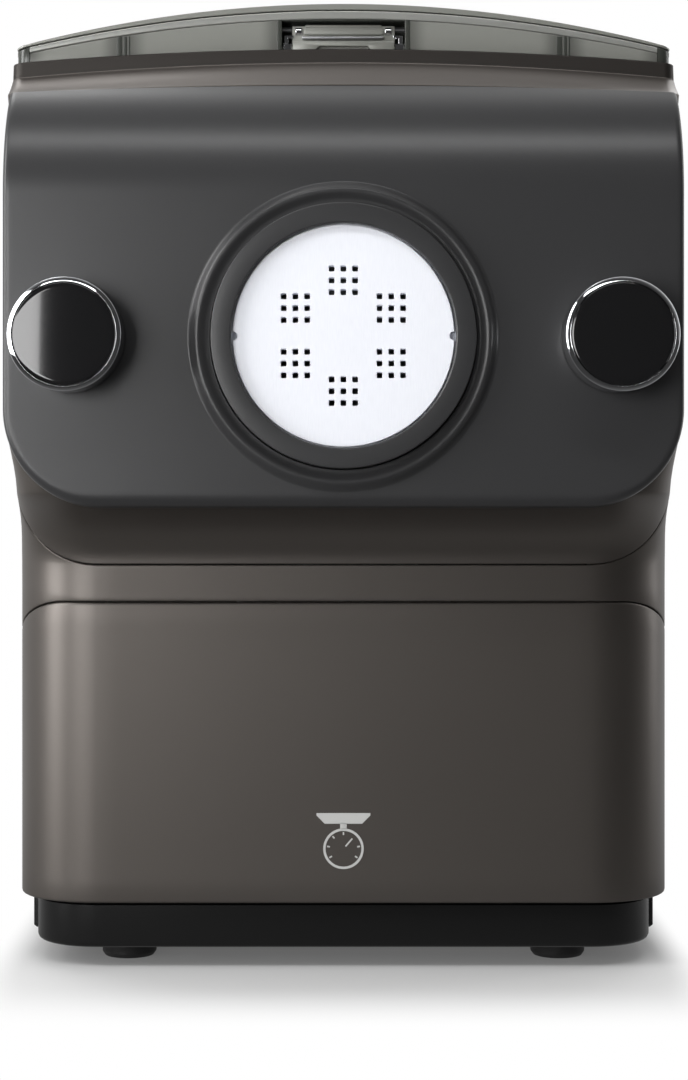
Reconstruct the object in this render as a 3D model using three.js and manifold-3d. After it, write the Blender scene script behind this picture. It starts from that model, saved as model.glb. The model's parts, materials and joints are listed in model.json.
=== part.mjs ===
// Electric pasta maker: a mixing chamber with a geared paddle and auger under a hinged lid,
// a shaping disc in a removable front panel held by two knobs, and a drawer below.
// Millimetres, +X right, +Y to the rear, +Z up, origin under the middle on the surface it stands on.
import * as THREE from "three";
import { mergeVertices } from "three/addons/utils/BufferGeometryUtils.js";
import Module from "manifold-3d";

const wasm = await Module();
wasm.setup();

// Driving dimensions
const overallWidth = 210;
const overallDepth = 343;
const halfWidth = overallWidth / 2;
const frontFace = -overallDepth / 2;
const rearFace = overallDepth / 2;
const wall = 2.5; // housing walls
const seam = 0.4; // gap between two covers that meet
const seat = 0.3; // gap between a piece and what carries it
const run = 0.4; // gap round a piece that moves
const overrun = 5; // how far a cut runs past what it cuts
const weld = 0.0001; // points closer than this are one point

// Housing outline: a column with a drawer in it, a cove, and a head that overhangs it
const lowerSetBack = 44; // flat front of the drawer and of the column, behind the knobs
const lowerFront = frontFace + lowerSetBack;
const lowerCorner = 27;
const rearCorner = 20;
const rearCoverDepth = 41.5;
const rearSplit = rearFace - rearCoverDepth;

// Base and feet
const base = { height: 14, sideInset: 5.5, frontInset: 3.5, rearInset: 3, corner: 21, wall: 2.6 };
const foot = { height: 6.5, radius: 8.8, edge: 1.2, sideInset: 29.5, frontInset: 23, rearInset: 27 };
const skirt = { proud: 2, start: 27, rearInset: 22, lift: 2 };
const chassis = { thickness: 2, inset: 7, gapUnder: 0.4, frontInset: 33, rearInset: 6 };
const baseHalf = halfWidth - base.sideInset;
const baseFront = lowerFront + base.frontInset;
const baseRear = rearFace - base.rearInset;
const baseTop = foot.height + base.height;
const bodyBottom = baseTop + seat;
const chassisBottom = baseTop + chassis.gapUnder;
const chassisTop = chassisBottom + chassis.thickness;
const loadCell = { width: 12, length: 80, frontInset: 64, rearInset: 73.5 };

// Gear train: three stages between the motor shaft and the output shaft, one above the other
const stageOne = { module: 1.5, small: 12, large: 36, width: 6.6 };
const stageTwo = { module: 1.75, small: 12, large: 36, width: 7 };
const stageThree = { module: 2, small: 12, large: 36, width: 8 };
const stages = [stageOne, stageTwo, stageThree];
const tooth = { backlash: 0.45, addendumShare: 0.92, dedendumShare: 1.3, flankShare: Math.tan(Math.PI / 9) };
const gearbox = { plate: 3, halfWidth: 42, corner: 8, topMargin: 43, gap: 1.2, frontGap: 3.3 };
const gearPin = 3.5;
const driveShaft = { radius: 7, gap: 0.35, reach: 25 };
const bearing = { radius: 14, width: 3.4 };
const shaftBore = driveShaft.radius + driveShaft.gap;

// The motor lies over the chassis, and the gears lead up from it to the line that the disc, tube,
// auger, paddle and drive shaft share
const motor = { radius: 36, wall: 2.6, bell: 3.7, length: 68.7, shaft: 4, bearing: 4.5, gapUnder: 13.1 };
const axes = [chassisTop + motor.gapUnder + motor.radius];
for (const { module, small, large } of stages)
  axes.push(axes[axes.length - 1] + (module * (small + large)) / 2);
const shaftHeight = axes[stages.length];
const gearboxTop = shaftHeight + gearbox.topMargin;

// Motor, fan and gearbox are placed from the rear wall
const stator = { bore: 21, gap: 0.4, frontInset: 10.7, rearInset: 11.4 };
const armature = { gap: 0.6, endInset: 2 };
const fan = { rimInset: 5, hub: 9, width: 9, blades: 7, blade: 2, behind: 2, rearGap: 7.5 };
const fanBlade = { tilt: 32, rootShare: 0.8 };
const fanRadius = motor.radius - fan.rimInset;
const fanFront = rearFace - wall - fan.rearGap - fan.width;
const caseRear = fanFront - fan.behind;
const caseFront = caseRear - motor.length;
const bellFront = caseFront - seat - motor.bell;
const plateRear = bellFront - seat;
const gearboxRear = plateRear - gearbox.plate;
const stackDepth = stages.reduce((sum, stage) => sum + stage.width + gearbox.gap, gearbox.frontGap);
const gearboxFront = gearboxRear - stackDepth - gearbox.plate;
const statorFront = caseFront + stator.frontInset;
const statorRear = caseRear - motor.wall - stator.rearInset;

// Mixing chamber, the deck under it, and the drawer under that
const chamber = { sideGap: 33, wall: 2.5, gapUnder: 4.1, frontGap: 1.5, rearGap: 5, topGap: 2 };
const bed = { thickness: 2, gapUnder: 1.2, rearGap: 1, saddle: 6, saddleHeight: 30.6, saddleReach: 5.5 };
const drawer = { wall: 3, wrap: 27, cornerAcross: 16, cornerDown: 9 };
const chamberRadius = halfWidth - chamber.sideGap;
const chamberOuter = chamberRadius + chamber.wall;
const bedTop = shaftHeight - chamberOuter - chamber.gapUnder;
const drawerTop = bedTop - bed.thickness - bed.gapUnder;
const wrapEnd = lowerFront + drawer.wrap;

// Disc, ring and tube
const disc = { radius: 36.5, rimWidth: 3, rim: 2.2, proud: 2.2, recess: 2.3, notch: 1.15 };
const holes = { hexRadius: 16.7, pitch: 3.55, size: 1.65 };
const ring = { proud: 5.5, wall: 1.6, lipGap: 0.5, flange: 3.5, flangeThickness: 2 };
const ogee = { width: 5.3, blend: 1.4, spreadShares: [0.3, 0.55, 0.8] };
const tube = {
  bore: 26,
  ledge: 3.5,
  wall: 2.2,
  body: 31,
  coneLength: 8,
  flangeRadius: 36,
  flange: 2.7,
  socketWall: 1.2,
};
const faceRadius = disc.radius - disc.rimWidth;
const ringRadius = disc.radius + seat + tube.socketWall + run + ring.wall;
const flangeRadius = ringRadius + ring.flange;
const ringWindow = faceRadius + run;
const ringLip = disc.recess + disc.proud - ring.lipGap;
const ogeeRadius = ringRadius + ogee.width;

// Front panel, its rolled top, and the shoulder over it
const neck = { aboveDrawer: 11.8, corner: 20, seamRise: 26, seamCorner: 27 };
const head = { corner: 8, cornerRise: 28 };
const mouth = { inset: 6.8, ringGap: 4.5, lift: 4, drop: 5.5, setBack: 60, sideGap: 4.5, rearGap: 4 };
const panel = {
  setBack: 16,
  thickness: 5.5,
  sideInset: 1.6,
  lap: 0.5,
  rollGap: 0.5,
  rollRadius: 43,
  rollShare: 0.9677,
  sideDrop: 2.8,
  corner: 30,
  edge: 3.2,
};
const shoulder = { rise: 13.5, setBack: 50.5, sideDrop: 4.4, depth: 11, skinDepth: 16 };
const mouthBottom = shaftHeight - flangeRadius - mouth.ringGap;
const neckBottom = drawerTop + neck.aboveDrawer;
const panelFront = frontFace + panel.setBack;
const panelBack = panelFront + panel.thickness;
const panelHalf = halfWidth - panel.sideInset;
const panelBottom = mouthBottom - mouth.lift;
const coveTop = panelBottom + panel.lap;
const headFront = panelBack + seam;
const rollY = panelFront + panel.rollRadius;
const rollHeight = shaftHeight + flangeRadius + panel.rollGap;
const headRoll = panel.rollRadius - panel.thickness - seam;
const panelTop = rollHeight + headRoll * panel.rollShare - seam;
const shoulderFront = frontFace + shoulder.setBack;
const shoulderTop = panelTop + shoulder.rise;
const roofInside = shoulderTop - shoulder.sideDrop - wall;
const ringFace = panelFront - ring.proud;
const discFront = ringFace + disc.recess;
const discBack = discFront + disc.proud + disc.rim;

// Knobs and their studs
const knob = { inset: 20.6, drop: 0.3, capRadius: 15.3, dome: 1, ringWall: 1.4, ringEdge: 1.3, setBack: 3 };
const knobHub = { radius: 7, boreDepth: 12.6 };
const stud = { radius: 3, flange: 6, flangeThickness: 2.7, tip: 3 };
const knobX = panelHalf - knob.inset;
const knobZ = shaftHeight - knob.drop;
const knobRingRadius = knob.capRadius + seat + knob.ringWall;
const knobBore = stud.radius + run;

// Chamber in depth, and the openings of the housing that go with it
const mouthHalf = knobX - mouth.inset;
const mouthTop = panelTop - mouth.drop;
const mouthFront = frontFace + mouth.setBack;
const chamberFront = mouthFront + chamber.frontGap;
const chamberRear = gearboxFront - chamber.rearGap;
const chamberTop = mouthTop - chamber.topGap;
const mouthTopHalf = chamberOuter + mouth.sideGap;
const mouthRear = chamberRear + mouth.rearGap;
const bedRear = gearboxFront - bed.rearGap;
const seal = { radius: 12, thickness: 5.5 };

// Tray of the drawer and its runners
const runner = { width: 14, ledge: 3, webHeight: 8, webWidth: 5, frontGap: 8.5, rearGap: 1 };
const tray = { sideInset: 13, rearGap: 21, height: 54, wall: 2, corner: 17, divider: 13, crossShare: 0.55 };
const runnerFront = wrapEnd + runner.frontGap;
const runnerRear = bedRear - runner.rearGap;
const trayHalf = halfWidth - tray.sideInset;
const trayRear = runnerRear - tray.rearGap;
const ledgeTop = chassisTop + seat + runner.ledge;
const trayBottom = ledgeTop + seat;

// Paddle and auger
const paddle = { sleeve: 10, sideGap: 6, frontGap: 6, rearGap: 9, bar: 8, thickness: 6, arm: 10 };
const armShares = { root: 0.6, places: [0.05, 0.46, 0.86] };
const auger = { core: 9, sideGap: 0.6, frontGap: 8.3, turns: 1.25, steps: 18 };
const paddleFront = chamberFront + paddle.frontGap;
const paddleRear = chamberRear - paddle.rearGap;
const paddleReach = chamberRadius - paddle.sideGap;
const shaftTip = paddleRear - driveShaft.reach;
const augerStart = paddleFront + paddle.sleeve / 5;
const augerLength = augerStart - discBack - auger.frontGap;

// Lid and the fixed cover behind it
const lid = { height: 15.5, sideHeight: 6.1, sideInset: 2, cover: 2.6, wall: 2.4 };
const lidHinge = { behind: 18, nose: 9, pin: 1.5, lug: 3.8, x: 32, earWidth: 7, lugWidth: 5 };
const lidLip = { sideGap: 0.5, endGap: 4, overlap: 2, corner: 6 };
const lidWeb = 2;
const slots = { count: 7, pitch: 3.1, width: 1.5, length: 14, setBack: 25 };
const bay = { halfWidth: 19.6, depth: 10.6, wall: 1.6 };
const latch = { pin: 0.8, barrel: 1.7, drop: 7.5, setBack: 3.6, plateDrop: 1.1, thickness: 2.2, notch: 8.2 };
const topCover = { rearRadius: 14 };
const lidTop = shoulderTop + lid.height;
const lidHalf = halfWidth - lid.sideInset;
const lidDrop = lid.height + shoulder.sideDrop - lid.sideHeight;
const lidFront = shoulderFront;
const hingeY = chamberRear + lidHinge.behind;
const hingeZ = lidTop - lidHinge.nose;
const lidRear = hingeY + lidHinge.nose;
const lipHalf = chamberRadius - lidLip.sideGap;
const lipFront = chamberFront + lidLip.endGap;
const lipRear = chamberRear - lidLip.endGap;
const lipBottom = chamberTop - lidLip.overlap;
const slotRear = lidFront + slots.setBack;
const latchY = lidFront + latch.setBack;
const latchZ = lidTop - latch.drop;
const latchPlateTop = latchZ - latch.plateDrop;

// Controls on the right side, the boards and the rear
const fascia = { height: 70, rearInset: 6, topInset: 31, thickness: 1.9, corner: 7, flange: 3 };
const display = { width: 38, height: 20, topInset: 20, thickness: 1.3, corner: 2 };
const button = { radius: 4.6, flange: 6, flangeThickness: 1.5, travel: 1.2, lift: 18, gap: 1, endInset: 9.5 };
const buttonNames = ["power_button", "program_button", "weigh_button", "start_button"];
const board = { thickness: 1.6, switchSize: 5, post: 2.5, postInset: 6 };
const powerBoard = { sideGap: 5.5, rearInset: 25.5, length: 60, height: 84, thickness: 1.6 };
const transformerShares = { reach: 0.42, start: 0.08, end: 0.55, low: 0.1, high: 0.45 };
const relayShares = { reach: 0.25, start: 0.15, end: 0.5, low: 0.6, high: 0.85 };
const capacitorShares = { reach: 0.45, along: 0.78, up: 0.3, radius: 0.13 };
const lidSwitch = { sideGap: 11, rearInset: 12, width: 8, length: 20, height: 11 };
const gland = { sideInset: 45, lift: 19.1, radius: 6, flange: 9, bore: 3.4, flangeThickness: 2.4 };
const vent = { count: 8, halfLength: 34, height: 3, pitch: 7, lift: 23.1 };
const fasciaRear = rearSplit - fascia.rearInset;
const buttonPitch = 2 * button.flange + button.gap;
const fasciaFront = fasciaRear - (buttonNames.length - 1) * buttonPitch - 2 * button.endInset;
const fasciaTop = shoulderTop - fascia.topInset;
const fasciaBottom = fasciaTop - fascia.height;
const displayY = (fasciaFront + fasciaRear) / 2;
const displayZ = fasciaTop - display.topInset;
const buttonZ = fasciaBottom + button.lift;
const glandX = gland.sideInset - halfWidth;
const glandZ = chassisTop + gland.lift;
const ventBottom = chassisTop + vent.lift;

// Materials
function finish(color, roughness, metalness) {
  return new THREE.MeshStandardMaterial({ color, roughness, metalness });
}
const taupe = finish(0x4c4845, 0.38, 0.35);
const charcoal = finish(0x3c3c3d, 0.55, 0.1);
const black = finish(0x141414, 0.35, 0);
const innerBlack = finish(0x1c1c1c, 0.6, 0);
const rubber = finish(0x0e0e0e, 0.9, 0);
const chrome = finish(0xd8d8da, 0.12, 1);
const steel = finish(0x9a9b9d, 0.35, 1);
const discMetal = finish(0xf4f7ff, 0.3, 0.6);
const lidGrey = finish(0x8a8c86, 0.4, 0.2);
const smoke = finish(0x5d605c, 0.2, 0);
const clearGrey = finish(0xb9bdbd, 0.2, 0);
const gearWhite = finish(0xe6e2d6, 0.5, 0);
const boardGreen = finish(0x1f5b3a, 0.6, 0);
const glass = finish(0x0b0d10, 0.08, 0);

// Solids: closed geometry in, joined and cut with manifold
function solid(geometry) {
  const bare = new THREE.BufferGeometry();
  const loose = geometry.index ? geometry.toNonIndexed() : geometry;
  bare.setAttribute("position", loose.getAttribute("position"));
  const merged = mergeVertices(bare, weld);
  const vertProperties = merged.attributes.position.array;
  const triVerts = new Uint32Array(merged.index.array);
  return new wasm.Manifold(new wasm.Mesh({ numProp: 3, vertProperties, triVerts }));
}

function join(first, ...others) {
  return others.reduce((sum, next) => sum.add(next), first);
}

function cut(first, ...others) {
  return others.reduce((rest, next) => rest.subtract(next), first);
}

function common(first, ...others) {
  return others.reduce((rest, next) => rest.intersect(next), first);
}

// Where an outline drawn in its own plane comes to stand on an axis
const along = {
  x: (from) => new THREE.Matrix4().makeBasis(...turned("y", "z", 1)).setPosition(from, 0, 0),
  y: (from, to) => new THREE.Matrix4().makeBasis(...turned("x", "z", -1)).setPosition(0, to, 0),
  z: (from) => new THREE.Matrix4().setPosition(0, 0, from),
};

function turned(across, up, sign) {
  const unit = { x: [1, 0, 0], y: [0, 1, 0], z: [0, 0, 1] };
  const left = ["x", "y", "z"].find((name) => name !== across && name !== up);
  const toVector = (name, scale) => new THREE.Vector3(...unit[name]).multiplyScalar(scale);
  return [toVector(across, 1), toVector(up, 1), toVector(left, sign)];
}

// An outline pushed along an axis from one place to another, each arc in arcSteps straight stretches
function prism(axis, outline, from, to, arcSteps = 6) {
  const settings = { depth: to - from, bevelEnabled: false, curveSegments: arcSteps / 2 };
  return solid(new THREE.ExtrudeGeometry(outline, settings).applyMatrix4(along[axis](from, to)));
}

function box(x0, x1, y0, y1, z0, z1) {
  const geometry = new THREE.BoxGeometry(x1 - x0, y1 - y0, z1 - z0);
  return solid(geometry.translate((x0 + x1) / 2, (y0 + y1) / 2, (z0 + z1) / 2));
}

function circle(x, y, radius) {
  return new THREE.Shape().absarc(x, y, radius, 0, 2 * Math.PI);
}

// A disc or pin along an axis: across and up are its centre in the plane square to that axis
function rod(axis, across, up, radius, from, to, sides = 18) {
  return prism(axis, circle(across, up, radius), from, to, sides);
}

function polygon(points) {
  return new THREE.Shape(points.map(([x, y]) => new THREE.Vector2(x, y)));
}

// A rectangle with rounded corners, which may have another radius at its far side
function rounded(x0, x1, y0, y1, radius, farRadius = radius) {
  const shape = new THREE.Shape();
  shape.absarc(x1 - radius, y0 + radius, radius, -Math.PI / 2, 0);
  shape.absarc(x1 - farRadius, y1 - farRadius, farRadius, 0, Math.PI / 2);
  shape.absarc(x0 + farRadius, y1 - farRadius, farRadius, Math.PI / 2, Math.PI);
  shape.absarc(x0 + radius, y0 + radius, radius, Math.PI, 1.5 * Math.PI);
  return shape;
}

// A turned piece round a line along Y: points are [radius, y], and the outline closes on itself
function turnedPiece(points, sides = 28) {
  const closed = [...points, points[0]].map(([r, y]) => new THREE.Vector2(r, y));
  const made = solid(new THREE.LatheGeometry(closed, sides));
  return made.volume() < 0 ? solid(new THREE.LatheGeometry(closed.reverse(), sides)) : made;
}

// A skin over rings of equally many points, closed with flat ends
function loft(rings) {
  const points = [];
  const count = rings[0].length;
  const quad = (a, b, c, d) => points.push(a, b, c, a, c, d);
  for (let i = 0; i + 1 < rings.length; i++)
    for (let j = 0; j < count; j++) {
      const k = (j + 1) % count;
      quad(rings[i][j], rings[i][k], rings[i + 1][k], rings[i + 1][j]);
    }
  const last = rings[rings.length - 1];
  for (let j = 1; j + 1 < count; j++) {
    points.push(rings[0][0], rings[0][j + 1], rings[0][j]);
    points.push(last[0], last[j], last[j + 1]);
  }
  return solid(new THREE.BufferGeometry().setFromPoints(points));
}

// A level outline of the housing, rounded at its four upright corners
function planRing(z, front, corner, cornerSteps = 4) {
  const half = halfWidth;
  const centres = [
    [half - corner, front + corner, corner, -Math.PI / 2],
    [half - rearCorner, rearFace - rearCorner, rearCorner, 0],
    [rearCorner - half, rearFace - rearCorner, rearCorner, Math.PI / 2],
    [corner - half, front + corner, corner, Math.PI],
  ];
  return centres.flatMap(([x, y, radius, start]) =>
    Array.from({ length: cornerSteps + 1 }, (_, i) => {
      const turn = start + ((Math.PI / 2) * i) / cornerSteps;
      return new THREE.Vector3(x + radius * Math.cos(turn), y + radius * Math.sin(turn), z);
    }),
  );
}

// A band between two arches, each [height at the middle, drop at the sides]; null is level ground
function archBand(low, high, halfWidth, steps = 5) {
  const points = [];
  const place = ([top, drop], x) => [x, top - drop * (x / lidHalf) ** 2];
  for (let i = -steps; i <= steps; i++) points.push(place(low, (halfWidth * i) / steps));
  for (let i = steps; i >= -steps; i--) points.push(place(high, (halfWidth * i) / steps));
  return polygon(points);
}

const shoulderArch = [shoulderTop, shoulder.sideDrop];
const lidBaseArch = [shoulderTop + seam, shoulder.sideDrop];
const lidArch = [lidTop, lidDrop];
const panelArch = [panelTop, panel.sideDrop];
const raised = ([top, drop], by) => [top + by, drop];

// Housing shell before it is split into lower housing, upper housing and rear cover
function housingOuter() {
  const rings = [planRing(bodyBottom, lowerFront, lowerCorner)];
  const reach = lowerFront - headFront;
  const coveSteps = 4;
  for (let i = 0; i <= coveSteps; i++) {
    const turn = (Math.PI / 2) * (i / coveSteps);
    const corner = lowerCorner + (neck.corner - lowerCorner) * (i / coveSteps);
    const front = lowerFront - reach * (1 - Math.cos(turn));
    rings.push(planRing(neckBottom + (coveTop - neckBottom) * Math.sin(turn), front, corner));
  }
  const cornerSteps = 2;
  for (let i = 1; i <= cornerSteps; i++) {
    const corner = neck.corner + (head.corner - neck.corner) * Math.sin((Math.PI / 2) * (i / cornerSteps));
    rings.push(planRing(coveTop + (head.cornerRise * i) / cornerSteps, headFront, corner));
  }
  const rollEnd = Math.asin(panel.rollShare);
  const rollSteps = 4;
  for (let i = 0; i <= rollSteps; i++) {
    const turn = (rollEnd * i) / rollSteps;
    const z = rollHeight + headRoll * Math.sin(turn);
    rings.push(planRing(z, rollY - headRoll * Math.cos(turn), head.corner));
  }
  rings.push(planRing(shoulderTop + overrun, shoulderFront, head.corner));
  const side = polygon([
    [panelFront + shoulder.skinDepth, panelTop - panel.sideDrop - seam],
    [rollY - Math.sqrt(panel.rollRadius ** 2 - (panelTop - rollHeight) ** 2), panelTop + seam],
    [shoulderFront, shoulderTop],
    [shoulderFront + shoulder.depth, shoulderTop],
    [shoulderFront + shoulder.depth, panelTop - panel.sideDrop - seam],
  ]);
  const half = halfWidth;
  const brow = common(
    prism("x", side, -half, half),
    prism("y", archBand(raised(panelArch, seam), shoulderArch, half), frontFace, rearFace),
    prism("z", rounded(-half, half, panelFront, rearFace, head.corner), panelBottom, lidTop),
  );
  const underRoof = prism("y", archBand([0, 0], shoulderArch, half + overrun), frontFace, rearFace + overrun);
  return join(common(loft(rings), underRoof), brow);
}

function housingInner() {
  const half = halfWidth - wall;
  const innerFront = lowerFront + wall;
  const radius = headRoll - wall;
  const headSide = new THREE.Shape();
  headSide.moveTo(rearFace - wall, bodyBottom - overrun);
  headSide.lineTo(rearFace - wall, roofInside);
  headSide.lineTo(rollY, roofInside);
  headSide.lineTo(rollY, rollHeight + radius);
  headSide.absarc(rollY, rollHeight, radius, Math.PI / 2, Math.PI);
  headSide.lineTo(headFront + wall, coveTop + wall);
  headSide.lineTo(innerFront, (neckBottom + coveTop) / 2 + wall);
  headSide.lineTo(innerFront, bodyBottom - overrun);
  const rear = rearFace - wall;
  const headStart = coveTop + head.cornerRise;
  const rearRadius = rearCorner - wall;
  const column = rounded(-half, half, innerFront, rear, lowerCorner - wall, rearRadius);
  const narrow = rounded(-half, half, headFront + wall, rear, lowerCorner - wall, rearRadius);
  const headPlan = rounded(-half, half, headFront + wall, rear, head.corner, rearRadius);
  const through = prism("x", headSide, -half, half);
  return join(
    common(through, prism("z", column, bodyBottom - overrun, headStart)),
    common(through, prism("z", narrow, coveTop + wall, headStart)),
    common(through, prism("z", headPlan, headStart, lidTop)),
  );
}

const outer = housingOuter();
const shell = cut(outer, housingInner());

// The seam between upper and lower housing: level across the front, rising at the sides
function belowSeam(shift) {
  const half = halfWidth + overrun;
  const shape = new THREE.Shape();
  const bend = halfWidth - neck.seamCorner;
  const low = neckBottom + shift;
  shape.moveTo(-half, low + neck.seamRise);
  shape.lineTo(-halfWidth, low + neck.seamRise);
  shape.absellipse(-bend, low + neck.seamRise, neck.seamCorner, neck.seamRise, Math.PI, 1.5 * Math.PI);
  shape.absellipse(bend, low + neck.seamRise, neck.seamCorner, neck.seamRise, -Math.PI / 2, 0);
  shape.lineTo(half, low + neck.seamRise);
  shape.lineTo(half, 0);
  shape.lineTo(-half, 0);
  return prism("y", shape, frontFace - overrun, rearFace + overrun);
}

// What the drawer front fills, seen from the front, grown or shrunk by a gap
function drawerOutline(grow) {
  const half = halfWidth;
  const top = drawerTop + grow;
  const low = bodyBottom + seam - grow;
  const shape = new THREE.Shape();
  shape.moveTo(-half, low - (grow > 0 ? overrun : 0));
  shape.lineTo(half, low - (grow > 0 ? overrun : 0));
  const { cornerAcross, cornerDown } = drawer;
  shape.absellipse(half - cornerAcross, top - cornerDown, cornerAcross, cornerDown, 0, Math.PI / 2);
  shape.absellipse(cornerAcross - half, top - cornerDown, cornerAcross, cornerDown, Math.PI / 2, Math.PI);
  return shape;
}

function lowerHousing() {
  const drawerSpace = prism("y", drawerOutline(seam), frontFace, wrapEnd + seam);
  const sides = halfWidth + overrun;
  const lowCorner = box(-sides, sides, frontFace, wrapEnd + seam, 0, drawerTop - drawer.cornerDown);
  const space = box(-sides, sides, frontFace, rearSplit, 0, lidTop);
  return cut(common(shell, belowSeam(0), space), drawerSpace, lowCorner);
}

function upperHousing() {
  const sides = halfWidth + overrun;
  const space = box(-sides, sides, frontFace, rearSplit, 0, lidTop);
  const opening = rounded(-mouthHalf, mouthHalf, mouthBottom, mouthTop, mouthHalf / 6);
  const front = prism("y", opening, frontFace, mouthFront + overrun);
  const above = box(-mouthTopHalf, mouthTopHalf, mouthFront, mouthRear, mouthTop - overrun, lidTop);
  const windowOutline = rounded(fasciaFront, fasciaRear, fasciaBottom, fasciaTop, fascia.corner);
  const window = prism("x", windowOutline, halfWidth - wall * 2, sides);
  const nose = lidHinge.nose + run;
  const relief = box(-sides, sides, hingeY - nose, lidRear + nose, hingeZ - nose, lidTop);
  const studHole = (side) => rod("y", side * knobX, knobZ, stud.radius + seat, frontFace, mouthFront, 12);
  return cut(common(shell, space), belowSeam(seam), front, above, window, relief, studHole(-1), studHole(1));
}

function rearCover() {
  const sides = halfWidth + overrun;
  const space = box(-sides, sides, rearSplit + seam, rearFace + overrun, 0, lidTop);
  const inside = rearFace - wall * 2;
  const slotsInRear = Array.from({ length: vent.count }, (_, i) => {
    const z = ventBottom + i * vent.pitch;
    return box(-vent.halfLength, vent.halfLength, inside, rearFace + overrun, z, z + vent.height);
  });
  const cordHole = rod("y", glandX, glandZ, gland.radius + seat, inside, rearFace + overrun, 16);
  return cut(common(shell, space), ...slotsInRear, cordHole);
}

// Fixed cover behind the lid, with two ears that carry the lid's hinge pins
function topCoverPiece() {
  const start = lidRear + run + seat;
  const half = lidHalf;
  const side = (shrink) => {
    const shape = new THREE.Shape();
    const rear = rearFace - shrink;
    const radius = topCover.rearRadius - shrink;
    shape.moveTo(start + shrink, shoulderTop - shoulder.sideDrop - overrun);
    shape.lineTo(rear, shoulderTop - shoulder.sideDrop - overrun);
    shape.absarc(rear - radius, lidTop - shrink - radius, radius, 0, Math.PI / 2);
    shape.lineTo(start + shrink, lidTop - shrink);
    return shape;
  };
  const planFront = start - rearCorner * 2;
  const plan = (shrink) =>
    rounded(-half + shrink, half - shrink, planFront, rearFace - shrink, rearCorner - shrink);
  const body = common(
    prism("x", side(0), -half, half),
    prism("y", archBand(lidBaseArch, lidArch, half), start, rearFace),
    prism("z", plan(0), 0, lidTop + overrun),
  );
  const hollow = common(
    prism("x", side(wall), -half, half),
    prism("y", archBand([0, 0], raised(lidArch, -wall), half - wall), start + wall, rearFace),
    prism("z", plan(wall), 0, lidTop),
  );
  const ears = [-1, 1].map((sideSign) => {
    const x0 = sideSign * lidHinge.x - lidHinge.earWidth / 2;
    const x1 = x0 + lidHinge.earWidth;
    const arm = box(x0, x1, hingeY, start + wall / 2, hingeZ - lidHinge.lug, hingeZ + lidHinge.lug / 2);
    return join(rod("x", hingeY, hingeZ, lidHinge.lug, x0, x1, 14), arm);
  });
  const pinHole = rod("x", hingeY, hingeZ, lidHinge.pin + seat, -half / 2, half / 2, 10);
  return cut(join(cut(body, hollow), ...ears), pinHole);
}

function hingePin(side) {
  const length = lidHinge.earWidth + 2 * lidHinge.lugWidth - seat * 2;
  return rod("x", 0, 0, lidHinge.pin, side * lidHinge.x - length / 2, side * lidHinge.x + length / 2, 10);
}

// Lid, drawn round its hinge line
function lidSide() {
  const shape = new THREE.Shape();
  shape.moveTo(lidFront, shoulderTop - shoulder.sideDrop - overrun);
  shape.lineTo(hingeY, shoulderTop - shoulder.sideDrop - overrun);
  shape.lineTo(hingeY, hingeZ - lidHinge.nose);
  shape.absarc(hingeY, hingeZ, lidHinge.nose, -Math.PI / 2, Math.PI / 2);
  shape.lineTo(lidFront + lid.cover, lidTop + seam);
  shape.lineTo(lidFront, lidTop - lid.cover / 2);
  return prism("x", shape, -lidHalf, lidHalf, 12);
}

function lidBlank(low, high) {
  const plan = rounded(-lidHalf, lidHalf, lidFront, lidRear + rearCorner, head.corner);
  return common(
    lidSide(),
    prism("y", archBand(low, high, lidHalf), lidFront, lidRear),
    prism("z", plan, 0, lidTop + overrun),
  );
}

function earNotches() {
  const half = lidHinge.earWidth / 2 + run;
  return [-1, 1].map((side) => {
    const x = side * lidHinge.x;
    const front = hingeY - lidHinge.lug - run * 3;
    return box(x - half, x + half, front, lidRear + overrun, 0, lidTop + overrun);
  });
}

function lidCover() {
  const slotRow = Array.from({ length: slots.count }, (_, i) => {
    const x = (i - (slots.count - 1) / 2) * slots.pitch;
    const x1 = x + slots.width / 2;
    const low = lidTop - lid.cover * 3;
    return box(x - slots.width / 2, x1, slotRear - slots.length, slotRear, low, lidTop + overrun);
  });
  return cut(lidBlank(raised(lidArch, -lid.cover), lidArch), ...slotRow, ...earNotches());
}

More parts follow.
